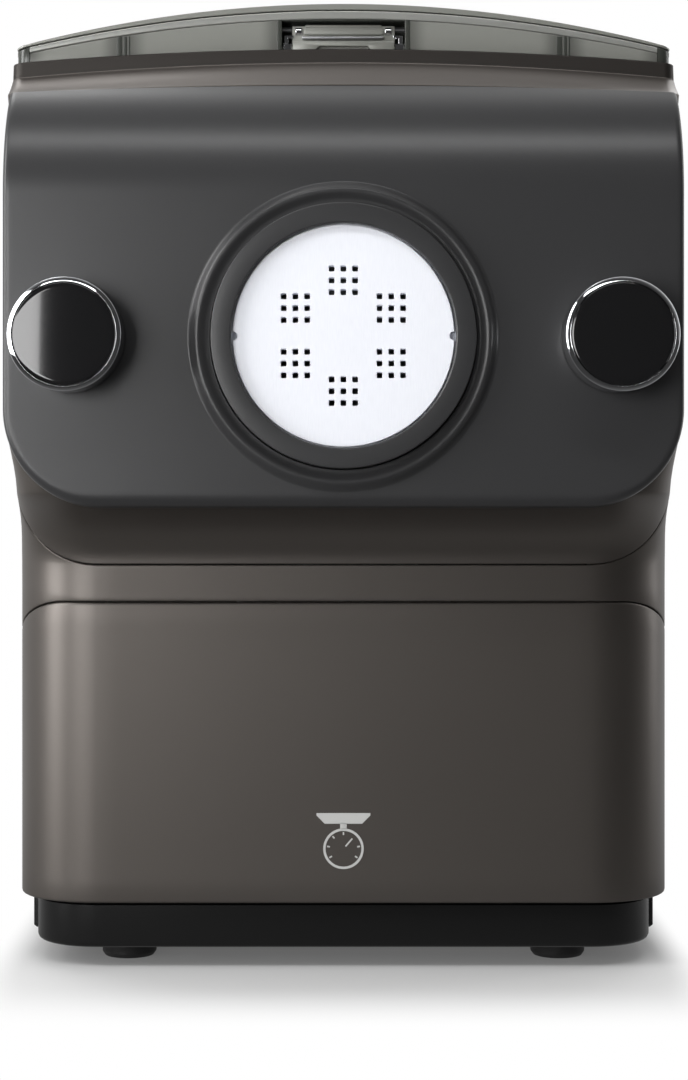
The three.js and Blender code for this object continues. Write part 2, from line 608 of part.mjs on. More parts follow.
function lidFrame() {
  const underCover = raised(lidArch, -lid.cover - seat);
  const lugSpace = hingeY - lidHinge.nose;
  const across = lidHalf - lid.wall;
  const hollow = prism("z", rounded(-across, across, lidFront + lid.wall, lugSpace, head.corner), 0, lidTop);
  const walls = cut(lidBlank(lidBaseArch, underCover), hollow);
  const floorHalf = across + lid.wall / 2;
  const floorFront = lidFront + lid.wall / 2;
  const floorRear = lugSpace + lid.wall;
  const floor = common(
    prism("y", archBand(lidBaseArch, raised(lidBaseArch, lidWeb), floorHalf), floorFront, floorRear),
    prism("z", rounded(-floorHalf, floorHalf, floorFront, floorRear, head.corner), 0, lidTop),
  );
  const lipOuter = rounded(-lipHalf, lipHalf, lipFront, lipRear, lidLip.corner);
  const inset = lipHalf - lid.wall;
  const lipInner = rounded(-inset, inset, lipFront + lid.wall, lipRear - lid.wall, lidLip.corner - lid.wall);
  const lipTop = shoulderTop + seam;
  const lip = prism("z", lipOuter, lipBottom, lipTop, 4);
  const through = prism("z", lipInner, lipBottom - overrun, lidTop, 4);
  const bayTop = latchZ + latch.barrel + run;
  const bayOutside = bay.halfWidth + bay.wall;
  const bayBack = lidFront + bay.depth;
  const bayBox = common(
    box(-bayOutside, bayOutside, lidFront, bayBack + bay.wall, shoulderTop + seam, lidTop),
    prism("y", archBand(lidBaseArch, underCover, lidHalf), lidFront, lidRear),
  );
  const bayLow = shoulderTop - overrun;
  const bayCut = box(-bay.halfWidth, bay.halfWidth, lidFront - overrun, bayBack, bayLow, bayTop);
  const latchHole = rod("x", latchY, latchZ, latch.pin + seat, -bayOutside - wall, bayOutside + wall, 8);
  const pinHole = rod("x", hingeY, hingeZ, lidHinge.pin + run, -lidHalf / 2, lidHalf / 2, 10);
  const whole = cut(join(walls, floor, lip, bayBox), through, bayCut, latchHole, ...earNotches());
  const lugEnd = lidHinge.x + lidHinge.earWidth / 2 + lidHinge.lugWidth;
  const pinRoom = box(-lugEnd, lugEnd, lidFront, lidRear, 0, lidTop);
  return cut(whole, common(pinHole, pinRoom));
}

function lidLatch() {
  const half = bay.halfWidth - run * 2;
  const front = latchY - latch.barrel - latch.thickness / 2;
  const low = shoulderTop + seam * 2;
  const plate = box(-half, half, front, front + latch.thickness, low, latchPlateTop);
  const barrel = rod("x", latchY, latchZ, latch.barrel, -half, half, 12);
  const bridge = box(-half, half, front + latch.thickness / 3, latchY, latchPlateTop - latch.barrel, latchZ);
  const notch = polygon([
    [-latch.notch, low - overrun],
    [latch.notch, low - overrun],
    [latch.notch - latch.thickness / 2, low + latch.thickness / 2],
    [-latch.notch + latch.thickness / 2, low + latch.thickness / 2],
  ]);
  const bore = rod("x", latchY, latchZ, latch.pin + seat, -half - overrun, half + overrun, 8);
  return cut(join(plate, barrel, bridge), bore, prism("y", notch, front - overrun, front + overrun));
}

function latchPin() {
  const half = bay.halfWidth + bay.wall - seat;
  return rod("x", 0, 0, latch.pin, -half, half, 8);
}

// Front panel with its rolled top, and the raised ogee round the disc ring
function frontPanel() {
  const side = new THREE.Shape();
  const top = panelTop + overrun;
  const outerEnd = Math.asin((top - rollHeight) / panel.rollRadius);
  const innerRadius = panel.rollRadius - panel.thickness;
  side.moveTo(panelBack, panelBottom);
  side.lineTo(panelBack, rollHeight);
  side.absarc(rollY, rollHeight, innerRadius, Math.PI, Math.PI / 2, true);
  side.lineTo(rollY, top);
  side.absarc(rollY, rollHeight, panel.rollRadius, Math.PI - outerEnd, Math.PI);
  side.lineTo(panelFront, panelBottom + panel.edge);
  side.absarc(panelFront + panel.edge, panelBottom + panel.edge, panel.edge, Math.PI, 1.5 * Math.PI);
  const face = new THREE.Shape();
  const half = panelHalf;
  face.absarc(half - panel.corner, panelBottom + panel.corner, panel.corner, -Math.PI / 2, 0);
  const steps = 6;
  for (let i = steps; i >= -steps; i--) {
    const x = (half * i) / steps;
    face.lineTo(x, panelTop - panel.sideDrop * (i / steps) ** 2);
  }
  face.absarc(panel.corner - half, panelBottom + panel.corner, panel.corner, Math.PI, 1.5 * Math.PI);
  const plate = common(prism("x", side, -half, half), prism("y", face, frontFace, rollY));
  const bore = ringRadius + seat;
  const spread = ogee.spreadShares.map((share) => bore + (ogeeRadius - bore) * share);
  const swell = turnedPiece([
    [bore, panelBack],
    [bore, ringFace],
    [spread[0], ringFace + ogee.blend / 2],
    [spread[1], (ringFace + panelFront) / 2],
    [spread[2], panelFront - ogee.blend / 2],
    [ogeeRadius + ogee.blend, panelFront + seat],
    [ogeeRadius + ogee.blend, panelBack],
  ], 36).translate(0, 0, shaftHeight);
  const hub = (sign) => rod("y", sign * knobX, knobZ, knobHub.radius + run, frontFace, rollY, 16);
  const ringBore = rod("y", 0, shaftHeight, bore, frontFace, rollY, 36);
  return join(cut(plate, ringBore, hub(-1), hub(1)), swell);
}

function discRing() {
  const inner = ringRadius - ring.wall;
  const back = panelBack + seam + ring.flangeThickness;
  return turnedPiece([
    [ringWindow, ringFace],
    [ringRadius, ringFace],
    [ringRadius, panelBack + seam],
    [flangeRadius, panelBack + seam],
    [flangeRadius, back],
    [inner, back],
    [inner, ringFace + ringLip],
    [ringWindow, ringFace + ringLip],
  ], 32);
}

// Shaping disc: a rim behind the ring's lip, a raised face, and six groups of nine square holes
function shapingDisc() {
  const face = new THREE.Shape().absarc(0, 0, faceRadius, 0, 2 * Math.PI);
  const rimFront = discBack - disc.rim;
  const rim = rod("y", 0, 0, disc.radius, rimFront, discBack, 36);
  const boss = prism("y", face, discFront, discBack - disc.rim / 2, 36);
  const cuts = [];
  for (let group = 0; group < 6; group++) {
    const turn = (group * Math.PI) / 3;
    for (let row = -1; row <= 1; row++)
      for (let column = -1; column <= 1; column++) {
        const x = holes.hexRadius * Math.sin(turn) + column * holes.pitch;
        const z = holes.hexRadius * Math.cos(turn) + row * holes.pitch;
        const half = holes.size / 2;
        cuts.push(box(x - half, x + half, discFront - overrun, discBack + overrun, z - half, z + half));
      }
  }
  for (const side of [-1, 1])
    cuts.push(rod("y", side * faceRadius, 0, disc.notch, discFront - overrun, rimFront, 8));
  return cut(join(rim, boss), ...cuts);
}

// Extrusion tube: a socket for the disc, a cone, the auger's bore and a spigot into the chamber
function extrusionTube() {
  const socket = disc.radius + seat;
  const socketOuter = ringRadius - ring.wall - run;
  const rimFront = discBack - disc.rim;
  const floor = discBack + seat;
  const cone = floor + tube.wall * 2;
  const spigotEnd = chamberFront + chamber.wall;
  return turnedPiece([
    [socket, rimFront],
    [socketOuter, rimFront],
    [socketOuter, cone + tube.wall],
    [tube.body, cone + tube.coneLength + tube.wall],
    [tube.body, chamberFront - tube.flange - seat],
    [tube.flangeRadius, chamberFront - tube.flange - seat],
    [tube.flangeRadius, chamberFront - seat],
    [tube.bore + tube.wall, chamberFront - seat],
    [tube.bore + tube.wall, spigotEnd],
    [tube.bore, spigotEnd],
    [tube.bore, cone + tube.coneLength],
    [disc.radius - tube.ledge, floor],
    [socket, floor],
  ], 30);
}

// Knobs: a black cap inside a chrome ring, turned on its own line
function knobCap() {
  const back = panelFront - seam;
  const face = frontFace;
  const full = knob.capRadius;
  return turnedPiece([
    [0, face],
    [full - knob.dome * 2, face],
    [full, face + knob.dome],
    [full, back],
    [knobHub.radius, back],
    [knobHub.radius, panelBack - seat],
    [knobBore, panelBack - seat],
    [knobBore, panelBack - knobHub.boreDepth],
    [0, panelBack - knobHub.boreDepth],
  ], 24);
}

function knobRing() {
  const inner = knob.capRadius + seat;
  const front = frontFace + knob.setBack;
  const back = panelFront - seam;
  return turnedPiece([
    [inner, front + knob.ringEdge / 3],
    [(inner + knobRingRadius) / 2, front],
    [knobRingRadius, front + knob.ringEdge / 2],
    [knobRingRadius, back],
    [inner, back],
  ], 28);
}

function lockStud() {
  const wallBack = headFront + wall;
  const boreEnd = panelBack - knobHub.boreDepth;
  return turnedPiece([
    [0, boreEnd + stud.tip / 3],
    [stud.radius - stud.tip / 3, boreEnd + stud.tip / 3],
    [stud.radius, boreEnd + stud.tip],
    [stud.radius, wallBack + seat],
    [stud.flange, wallBack + seat],
    [stud.flange, wallBack + seat + stud.flangeThickness],
    [0, wallBack + seat + stud.flangeThickness],
  ], 12);
}

// Mixing chamber: a U-shaped bowl with a round front hole for the tube and a rear hole for the shaft
function mixingChamber() {
  const bowl = (radius, top) => {
    const shape = new THREE.Shape();
    shape.absarc(0, shaftHeight, radius, Math.PI, 2 * Math.PI);
    shape.lineTo(radius, top);
    shape.lineTo(-radius, top);
    return shape;
  };
  const outside = prism("y", bowl(chamberOuter, chamberTop), chamberFront, chamberRear, 24);
  const inside = prism("y", bowl(chamberRadius, chamberTop + overrun), chamberFront + chamber.wall,
    chamberRear - chamber.wall, 24);
  const spigot = tube.bore + tube.wall + seat;
  const frontHole = rod("y", 0, shaftHeight, spigot, chamberFront - overrun, chamberFront + overrun, 30);
  const rearHole = rod("y", 0, shaftHeight, seal.radius, chamberRear - overrun, chamberRear + overrun, 18);
  return cut(outside, inside, frontHole, rearHole);
}

function shaftSeal() {
  const front = chamberRear - seal.thickness + seat;
  return turnedPiece([
    [shaftBore, front],
    [seal.radius - seat, front],
    [seal.radius - seat, front + seal.thickness],
    [shaftBore, front + seal.thickness],
  ], 18);
}

// Deck under the chamber, with two saddles that the bowl lies in
function chamberBed() {
  const half = halfWidth - wall - seam;
  const front = lowerFront + wall + seam;
  const plan = rounded(-half, half, front, bedRear + rearCorner * 2, lowerCorner - wall - seam);
  const deck = common(
    prism("z", plan, bedTop - bed.thickness, bedTop),
    box(-half, half, front, bedRear, 0, lidTop),
  );
  const saddleHalf = chamberOuter + bed.saddleReach;
  const saddleTop = bedTop + bed.saddleHeight;
  const saddle = (y) => cut(
    box(-saddleHalf, saddleHalf, y, y + bed.saddle, bedTop - bed.thickness / 2, saddleTop),
    rod("y", 0, shaftHeight, chamberOuter + seat, y - overrun, y + bed.saddle + overrun, 40),
  );
  const inset = bed.saddle * 2;
  return join(deck, saddle(chamberFront + inset), saddle(chamberRear - inset - bed.saddle));
}

// Paddle: a sleeve with two swept arms and a bar on each side, and the auger at its front end
function mixingPaddle() {
  const half = paddle.thickness / 2;
  const sleeve = rod("y", 0, 0, paddle.sleeve, paddleFront, paddleRear, 18);
  const pieces = [sleeve];
  const span = paddleRear - paddleFront;
  for (const side of [-1, 1]) {
    const tip = side * paddleReach;
    const innerEdge = side * (paddleReach - paddle.bar);
    const arms = armShares.places.map((share) => paddleFront + span * share);
    const barSides = [tip, innerEdge].sort((a, b) => a - b);
    const armSides = [side * paddle.sleeve * armShares.root, tip - side * half].sort((a, b) => a - b);
    pieces.push(box(...barSides, arms[0], arms[2] + paddle.arm, -half, half));
    for (const y of arms) pieces.push(box(...armSides, y, y + paddle.arm, -half, half));
  }
  const boreCut = rod("y", 0, 0, shaftBore, shaftTip - seat, paddleRear + overrun, 18);
  return cut(join(...pieces, augerScrew()), boreCut);
}

function augerScrew() {
  const lobeShares = [1, 0.9, 0.12, 0, 0, 0, 0, 0, 0, 0, 0, 0, 0, 0.12, 0.9];
  const sides = lobeShares.length;
  const rings = [];
  for (let i = 0; i <= auger.steps; i++) {
    const y = augerStart - (augerLength * i) / auger.steps;
    const turn = (2 * Math.PI * auger.turns * i) / auger.steps;
    rings.push(Array.from({ length: sides }, (_, j) => {
      const radius = auger.core + (tube.bore - auger.sideGap - auger.core) * lobeShares[j];
      const angle = turn + (2 * Math.PI * j) / sides;
      return new THREE.Vector3(radius * Math.cos(angle), y, radius * Math.sin(angle));
    }));
  }
  return loft(rings);
}

// Gears: straight-sided teeth, drawn with one tooth pointing up
function gearOutline(teeth, module, bore) {
  const pitch = (module * teeth) / 2;
  const tip = pitch + module * tooth.addendumShare;
  const root = pitch - module * tooth.dedendumShare;
  const atPitch = Math.PI / (2 * teeth) - tooth.backlash / (2 * pitch);
  const atTip = atPitch - (module * tooth.addendumShare * tooth.flankShare) / pitch;
  const atRoot = atPitch + (module * tooth.dedendumShare * tooth.flankShare) / pitch;
  const shape = new THREE.Shape();
  const corners = [[root, -atRoot], [tip, -atTip], [tip, atTip], [root, atRoot]];
  for (let i = 0; i < teeth; i++)
    corners.forEach(([radius, offset], j) => {
      const angle = Math.PI / 2 + (2 * Math.PI * i) / teeth + offset;
      const point = [radius * Math.cos(angle), radius * Math.sin(angle)];
      if (i === 0 && j === 0) shape.moveTo(...point);
      else shape.lineTo(...point);
    });
  if (bore) shape.holes.push(new THREE.Path().absarc(0, 0, bore, 0, 2 * Math.PI, true));
  return shape;
}

// A gear's width along the shaft: the first stage is nearest the motor
function stageStart(index) {
  let y = gearboxRear - gearbox.gap;
  for (let i = 0; i <= index; i++) y -= stages[i].width + (i ? gearbox.gap : 0);
  return y;
}

// Meshing teeth: the upper gear turns by half a tooth where its count puts a tooth on the line
function gapDown(teeth) {
  return teeth % 2 === 0 ? Math.PI / teeth : 0;
}

function gear(teeth, module, bore, from, width, turn) {
  const made = prism("y", gearOutline(teeth, module, bore), from, from + width, 16);
  return turn ? made.rotate([0, (turn * 180) / Math.PI, 0]) : made;
}

// Large wheel of one stage and the small wheel of the next on one hub
function compoundGear(index) {
  const wheel = stages[index];
  const next = stages[index + 1];
  const bore = gearPin + run;
  const wheelStart = stageStart(index);
  const pinionStart = stageStart(index + 1);
  return join(
    gear(wheel.large, wheel.module, bore, wheelStart, wheel.width, gapDown(wheel.large)),
    gear(next.small, next.module, bore, pinionStart, wheelStart - pinionStart + gearbox.gap / 2, 0),
  );
}

function outputGear() {
  const last = stages[stages.length - 1];
  const bore = driveShaft.radius + seat;
  return gear(last.large, last.module, bore, stageStart(2), last.width, gapDown(last.large));
}

function gearboxPlate(from, shaftHole, motorHole) {
  const plate = rounded(-gearbox.halfWidth, gearbox.halfWidth, chassisTop + seat, gearboxTop, gearbox.corner);
  const from0 = from - overrun;
  const to0 = from + gearbox.plate + overrun;
  const cuts = [
    rod("y", 0, shaftHeight, shaftHole, from0, to0, 20),
    rod("y", 0, axes[1], gearPin + seat, from0, to0, 12),
    rod("y", 0, axes[2], gearPin + seat, from0, to0, 12),
  ];
  if (motorHole) cuts.push(rod("y", 0, axes[0], motorHole, from0, to0, 20));
  return cut(prism("y", plate, from, from + gearbox.plate, 4), ...cuts);
}

function outputBearing() {
  const front = gearboxFront - (bearing.width - gearbox.plate) / 2;
  return turnedPiece([
    [shaftBore, front],
    [bearing.radius - seat, front],
    [bearing.radius - seat, front + bearing.width],
    [shaftBore, front + bearing.width],
  ], 20);
}

// Motor, drawn round its own shaft line
function motorCase() {
  const outside = rod("y", 0, 0, motor.radius, caseFront, caseRear, 28);
  const inside = rod("y", 0, 0, motor.radius - motor.wall, caseFront - overrun, caseRear - motor.wall, 28);
  return cut(outside, inside, rod("y", 0, 0, motor.bearing, caseFront, caseRear + overrun, 12));
}

function motorEndBell() {
  const plate = rod("y", 0, 0, motor.radius, bellFront, bellFront + motor.bell, 28);
  return cut(plate, rod("y", 0, 0, motor.bearing, bellFront - overrun, bellFront + overrun * 2, 12));
}

function motorStator() {
  const radius = motor.radius - motor.wall - stator.gap;
  return turnedPiece([
    [stator.bore, statorFront],
    [radius, statorFront],
    [radius, statorRear],
    [stator.bore, statorRear],
  ], 28);
}

function motorArmature() {
  const first = stages[0];
  const pinionStart = stageStart(0);
  const coreFront = statorFront + armature.endInset;
  const core = rod("y", 0, 0, stator.bore - armature.gap, coreFront, statorRear - armature.endInset, 24);
  const shaftEnd = fanFront + fan.width;
  return join(
    core,
    rod("y", 0, 0, motor.shaft, pinionStart, shaftEnd, 12),
    gear(first.small, first.module, 0, pinionStart, first.width, 0),
  );
}

function coolingFan() {
  const front = fanFront;
  const rear = front + fan.width;
  const hub = rod("y", 0, 0, fan.hub, front, rear, 16);
  const root = fan.hub * fanBlade.rootShare;
  const half = fan.width / 2;
  const thick = fan.blade / 2;
  const blades = Array.from({ length: fan.blades }, (_, i) => {
    const blade = box(root, fanRadius, -half, half, -thick, thick).rotate([fanBlade.tilt, 0, 0]);
    return blade.translate(0, (front + rear) / 2, 0).rotate([0, (360 * i) / fan.blades, 0]);
  });
  const trim = rod("y", 0, 0, fanRadius + overrun, front, rear, 20);
  const bore = rod("y", 0, 0, motor.shaft + seat, front - overrun, rear + overrun, 12);
  return cut(common(join(hub, ...blades), trim), bore);
}

// Drawer: a curved front on a tray that slides on two runners
function drawerFront() {
  const solidFront = common(outer, prism("y", drawerOutline(0), frontFace, wrapEnd));
  const half = halfWidth - drawer.wall;
  const inner = rounded(-half, half, lowerFront + drawer.wall, rearFace, lowerCorner - drawer.wall);
  return cut(solidFront, prism("z", inner, 0, lidTop));
}

function drawerTray() {
  const front = lowerFront + drawer.wall + seam;
  const plan = (inset) => {
    const half = trayHalf - inset;
    return rounded(-half, half, front + inset, trayRear + tray.corner - inset, tray.corner - inset);
  };
  const bounds = (inset) => box(-trayHalf, trayHalf, front, trayRear - inset, 0, lidTop);
  const top = trayBottom + tray.height;
  const outside = common(prism("z", plan(0), trayBottom, top), bounds(0));
  const floor = trayBottom + tray.wall;
  const inside = common(prism("z", plan(tray.wall), floor, top + overrun), bounds(tray.wall));
  const length = trayRear - front;
  const dividerTop = trayBottom + tray.divider;
  const half = trayHalf - tray.wall / 2;
  const thick = tray.wall / 2;
  const acrossY = front + length * tray.crossShare;
  const dividers = join(
    box(-half, half, acrossY - thick, acrossY + thick, trayBottom + thick, dividerTop),
    box(-thick, thick, front + thick, acrossY, trayBottom + thick, dividerTop),
  );
  return join(cut(outside, inside), dividers);
}

function drawerRunner(side) {
  const webInner = trayHalf + run * 2;
  const outside = webInner + runner.webWidth;
  const profile = polygon([
    [side * (outside - runner.width), chassisTop + seat],
    [side * outside, chassisTop + seat],
    [side * outside, ledgeTop + runner.webHeight],
    [side * webInner, ledgeTop + runner.webHeight],
    [side * webInner, ledgeTop],
    [side * (outside - runner.width), ledgeTop],
  ]);
  return prism("y", profile, runnerFront, runnerRear);
}

// Base tray, feet, chassis plate and load cells
function baseTray() {
  const plan = (inset) => {
    const across = baseHalf - inset;
    return rounded(-across, across, baseFront + inset, baseRear - inset, base.corner - inset);
  };
  const half = baseHalf + skirt.proud;
  const skirtFront = lowerFront + skirt.start;
  const skirtBottom = foot.height + skirt.lift;
  const skirtBox = box(-half, half, skirtFront, baseRear - skirt.rearInset, skirtBottom, baseTop);
  const hollow = prism("z", plan(base.wall), foot.height + base.wall, baseTop + overrun);
  return cut(join(prism("z", plan(0), foot.height, baseTop), skirtBox), hollow);
}

function footPad() {
  const top = foot.height - seat;
  const { radius, edge } = foot;
  const side = [[0, 0], [radius - edge, 0], [radius, edge], [radius, top], [0, top]];
  return turnedPiece(side, 18).rotate([90, 0, 0]);
}

function chassisPlate() {
  const half = halfWidth - chassis.inset;
  const front = lowerFront + chassis.frontInset;
  const rear = rearFace - chassis.rearInset;
  const plan = rounded(-half, half, front, rear, rearCorner - chassis.rearInset);
  return prism("z", plan, chassisBottom, chassisTop);
}

function loadCellBar(y) {
  const half = loadCell.width / 2;
  const floor = foot.height + base.wall + seat;
  const waist = rod("x", y, (floor + baseTop) / 2, loadCell.width / 5, -loadCell.length, loadCell.length, 10);
  const bar = box(-loadCell.length / 2, loadCell.length / 2, y - half, y + half, floor, baseTop);
  return cut(bar, waist);
}

// Control fascia set in the right wall, with its posts, window glass, buttons and board
const fasciaFace = halfWidth - seam / 2;
const fasciaBack = fasciaFace - fascia.thickness - wall;
const boardFace = fasciaBack - overrun;
const buttonY = (index) => displayY + (index - (buttonNames.length - 1) / 2) * buttonPitch;

function controlFascia() {
  const grown = (by, corner) =>
    rounded(fasciaFront - by, fasciaRear + by, fasciaBottom - by, fasciaTop + by, corner);
  const plate = prism("x", grown(-seam, fascia.corner - seam), fasciaBack, fasciaFace);
  const rim = prism("x", grown(fascia.flange, fascia.corner), fasciaBack, halfWidth - wall - seat, 4);
  const posts = [];
  for (const y of [fasciaFront + board.postInset, fasciaRear - board.postInset])
    for (const z of [fasciaBottom + board.postInset / 2, fasciaTop - board.postInset / 2])
      posts.push(rod("x", y, z, board.post, boardFace + seat, fasciaBack + seat, 8));
  const pocket = displayOutline(seat);
  const cuts = [prism("x", pocket, fasciaFace - display.thickness - seat, halfWidth + overrun, 4)];
  buttonNames.forEach((_, i) => {
    cuts.push(rod("x", buttonY(i), buttonZ, button.radius + run, boardFace, halfWidth + overrun, 14));
  });
  return cut(join(plate, rim, ...posts), ...cuts);
}

function displayOutline(grow) {
  const halfY = display.width / 2 + grow;
  const halfZ = display.height / 2 + grow;
  return rounded(displayY - halfY, displayY + halfY, displayZ - halfZ, displayZ + halfZ, display.corner);
}

function displayWindow() {
  return prism("x", displayOutline(0), fasciaFace - display.thickness, fasciaFace, 4);
}

function pushButton(y) {
  const flangeFront = fasciaBack - seam;
  const back = flangeFront - button.flangeThickness;
  const cap = rod("x", y, buttonZ, button.radius, back, halfWidth, 14);
  return join(cap, rod("x", y, buttonZ, button.flange, back, flangeFront, 14));
}

function controlBoard() {
  const plate = box(boardFace - board.thickness, boardFace, fasciaFront, fasciaRear, fasciaBottom, fasciaTop);
  const switchBack = boardFace - board.thickness / 2;
  const switchFace = fasciaBack - seam - button.flangeThickness - button.travel - seam;
  const half = board.switchSize / 2;
  const switches = buttonNames.map((_, i) =>
    box(switchBack, switchFace, buttonY(i) - half, buttonY(i) + half, buttonZ - half, buttonZ + half),
  );
  return join(plate, ...switches);
}

// Power board with a transformer, a capacitor and a relay
function powerBoardPiece() {
  const { length, height, thickness } = powerBoard;
  const x = wall + powerBoard.sideGap - halfWidth;
  const y1 = rearFace - powerBoard.rearInset;
  const y0 = y1 - length;
  const z0 = chassisTop + seat;
  const inside = x + thickness / 2;
  const block = ({ reach, start, end, low, high }) => {
    const rear = y0 + length * end;
    return box(inside, x + length * reach, y0 + length * start, rear, z0 + height * low, z0 + height * high);
  };
  const { reach, along: place, up, radius } = capacitorShares;
  return join(
    box(x, x + thickness, y0, y1, z0, z0 + height),
    block(transformerShares),
    rod("x", y0 + length * place, z0 + height * up, length * radius, inside, x + length * reach, 14),
    block(relayShares),
  );
}

function lidSwitchPiece() {
  const { width, length, height } = lidSwitch;
  const x = mouthTopHalf + lidSwitch.sideGap;
  const y = mouthRear - lidSwitch.rearInset;
  const top = roofInside - seat;
  const low = top - height;
  const half = width / 2;
  const front = y - length / 2;
  const body = box(x - half, x + half, front, front + length, low, top);
  const lever = box(x - half / 2, x + half / 2, front, y + length / 3, low - half / 2, low + half / 4);
  return join(body, lever);
}

function cordGland() {
  const face = rearFace - seat;
  const inside = rearFace - wall - seat;
  return turnedPiece([
    [gland.bore, inside - gland.flangeThickness],
    [gland.flange, inside - gland.flangeThickness],
    [gland.flange, inside],
    [gland.radius, inside],
    [gland.radius, face],
    [gland.bore, face],
  ], 16);
}

// Scene graph
const group = new THREE.Group();

function mesh(name, body, material, parent = group) {
  const { vertProperties, triVerts } = body.getMesh();
  const indexed = new THREE.BufferGeometry();
  indexed.setAttribute("position", new THREE.BufferAttribute(new Float32Array(vertProperties), 3));
  indexed.setIndex(new THREE.BufferAttribute(new Uint32Array(triVerts), 1));
  const geometry = indexed.toNonIndexed();
  geometry.computeVertexNormals();
  const piece = new THREE.Mesh(geometry, material);
  piece.name = name;
  parent.add(piece);
  return piece;
}

function nested(parent, x, y, z) {
  const inner = new THREE.Group();
  inner.position.set(x, y, z);
  parent.add(inner);
  return inner;
}

// Base
for (const [depth, y] of [["front", baseFront + foot.frontInset], ["rear", baseRear - foot.rearInset]])
  for (const [place, side] of [["left", -1], ["right", 1]])
    mesh(`foot_${depth}_${place}`, footPad(), rubber).position.set(side * (baseHalf - foot.sideInset), y, 0);
mesh("base_tray", baseTray(), black);
mesh("load_cell_front", loadCellBar(baseFront + loadCell.frontInset), steel);
mesh("load_cell_rear", loadCellBar(baseRear - loadCell.rearInset), steel);
mesh("chassis_plate", chassisPlate(), steel);

// Housing
mesh("lower_housing", lowerHousing(), taupe);
mesh("upper_housing", upperHousing(), taupe);
mesh("rear_cover", rearCover(), taupe);
mesh("top_cover", topCoverPiece(), lidGrey);
mesh("chamber_bed", chamberBed(), innerBlack);
mesh("cord_gland", cordGland(), rubber).position.set(glandX, 0, glandZ);
mesh("lid_switch", lidSwitchPiece(), innerBlack);
mesh("power_board", powerBoardPiece(), boardGreen);

// Controls
mesh("control_fascia", controlFascia(), black);
mesh("display_window", displayWindow(), glass);
mesh("control_board", controlBoard(), boardGreen);
buttonNames.forEach((name, i) => mesh(name, pushButton(buttonY(i)), charcoal));

// Mixing and shaping
const shaftLine = nested(group, 0, 0, shaftHeight);
mesh("mixing_chamber", mixingChamber(), clearGrey);
mesh("extrusion_tube", extrusionTube(), black, shaftLine);
mesh("shaft_seal", shaftSeal(), rubber, shaftLine);
mesh("shaping_disc", shapingDisc(), discMetal, shaftLine);
mesh("mixing_paddle", mixingPaddle(), clearGrey, shaftLine);
mesh("output_bearing", outputBearing(), steel, shaftLine);
mesh("drive_shaft", rod("y", 0, 0, driveShaft.radius, shaftTip, plateRear - seat, 18), steel, shaftLine);
mesh("output_gear", outputGear(), gearWhite, shaftLine);

// Gearbox and motor
mesh("gearbox_front_plate", gearboxPlate(gearboxFront, bearing.radius, 0), steel);
mesh("gearbox_rear_plate", gearboxPlate(gearboxRear, shaftBore, bearing.radius), steel);
for (const [name, index] of [["one", 1], ["two", 2]]) {
  const line = nested(group, 0, 0, axes[index]);
  mesh(`gear_pin_${name}`, rod("y", 0, 0, gearPin, gearboxFront, plateRear - seat, 14), steel, line);
  mesh(`gear_${name}`, compoundGear(index - 1), gearWhite, line);
}
const motorLine = nested(group, 0, 0, axes[0]);
mesh("motor_end_bell", motorEndBell(), steel, motorLine);
mesh("motor_case", motorCase(), steel, motorLine);
mesh("motor_stator", motorStator(), steel, motorLine);
mesh("motor_armature", motorArmature(), steel, motorLine);
mesh("cooling_fan", coolingFan(), innerBlack, motorLine);

// Front panel and knobs
mesh("front_panel", frontPanel(), charcoal);
mesh("disc_ring", discRing(), charcoal, shaftLine);
for (const [name, side] of [["left", -1], ["right", 1]]) {
  const line = nested(group, side * knobX, 0, knobZ);
  mesh(`knob_cap_${name}`, knobCap(), black, line);
  mesh(`knob_ring_${name}`, knobRing(), chrome, line);
  mesh(`lock_stud_${name}`, lockStud(), steel, line);
  const hinge = nested(group, 0, hingeY, hingeZ);
  mesh(`hinge_pin_${name}`, hingePin(side), steel, hinge);
}

// Lid
mesh("lid_cover", lidCover(), lidGrey);
mesh("lid_frame", lidFrame(), smoke);
mesh("lid_latch", lidLatch(), smoke);
mesh("latch_pin", latchPin(), chrome, nested(group, 0, latchY, latchZ));

// Drawer
mesh("drawer_front", drawerFront(), taupe);
mesh("drawer_tray", drawerTray(), innerBlack);
mesh("runner_left", drawerRunner(-1), steel);
mesh("runner_right", drawerRunner(1), steel);

export default group;
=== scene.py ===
import json
import math

import bmesh
import bpy
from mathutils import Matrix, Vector

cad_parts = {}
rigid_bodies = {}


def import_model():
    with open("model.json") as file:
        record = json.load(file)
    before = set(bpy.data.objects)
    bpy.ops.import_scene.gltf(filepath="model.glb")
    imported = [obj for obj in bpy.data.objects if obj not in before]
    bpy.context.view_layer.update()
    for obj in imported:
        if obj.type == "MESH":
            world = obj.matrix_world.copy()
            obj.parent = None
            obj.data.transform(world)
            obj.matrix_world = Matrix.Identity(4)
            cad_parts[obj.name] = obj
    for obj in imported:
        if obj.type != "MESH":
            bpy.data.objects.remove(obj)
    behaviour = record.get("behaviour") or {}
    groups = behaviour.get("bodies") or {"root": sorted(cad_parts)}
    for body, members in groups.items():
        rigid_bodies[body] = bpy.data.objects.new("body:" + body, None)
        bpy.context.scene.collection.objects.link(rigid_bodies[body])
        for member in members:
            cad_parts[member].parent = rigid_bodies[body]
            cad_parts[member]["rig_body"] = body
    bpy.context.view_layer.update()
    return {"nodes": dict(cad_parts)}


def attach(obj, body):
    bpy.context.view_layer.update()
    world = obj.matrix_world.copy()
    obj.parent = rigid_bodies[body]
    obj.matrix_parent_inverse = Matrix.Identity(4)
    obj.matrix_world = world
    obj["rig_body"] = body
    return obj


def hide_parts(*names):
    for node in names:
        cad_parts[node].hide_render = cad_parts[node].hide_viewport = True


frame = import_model()
print("frame loaded")

millimetre = 0.001
halfPi = math.pi / 2


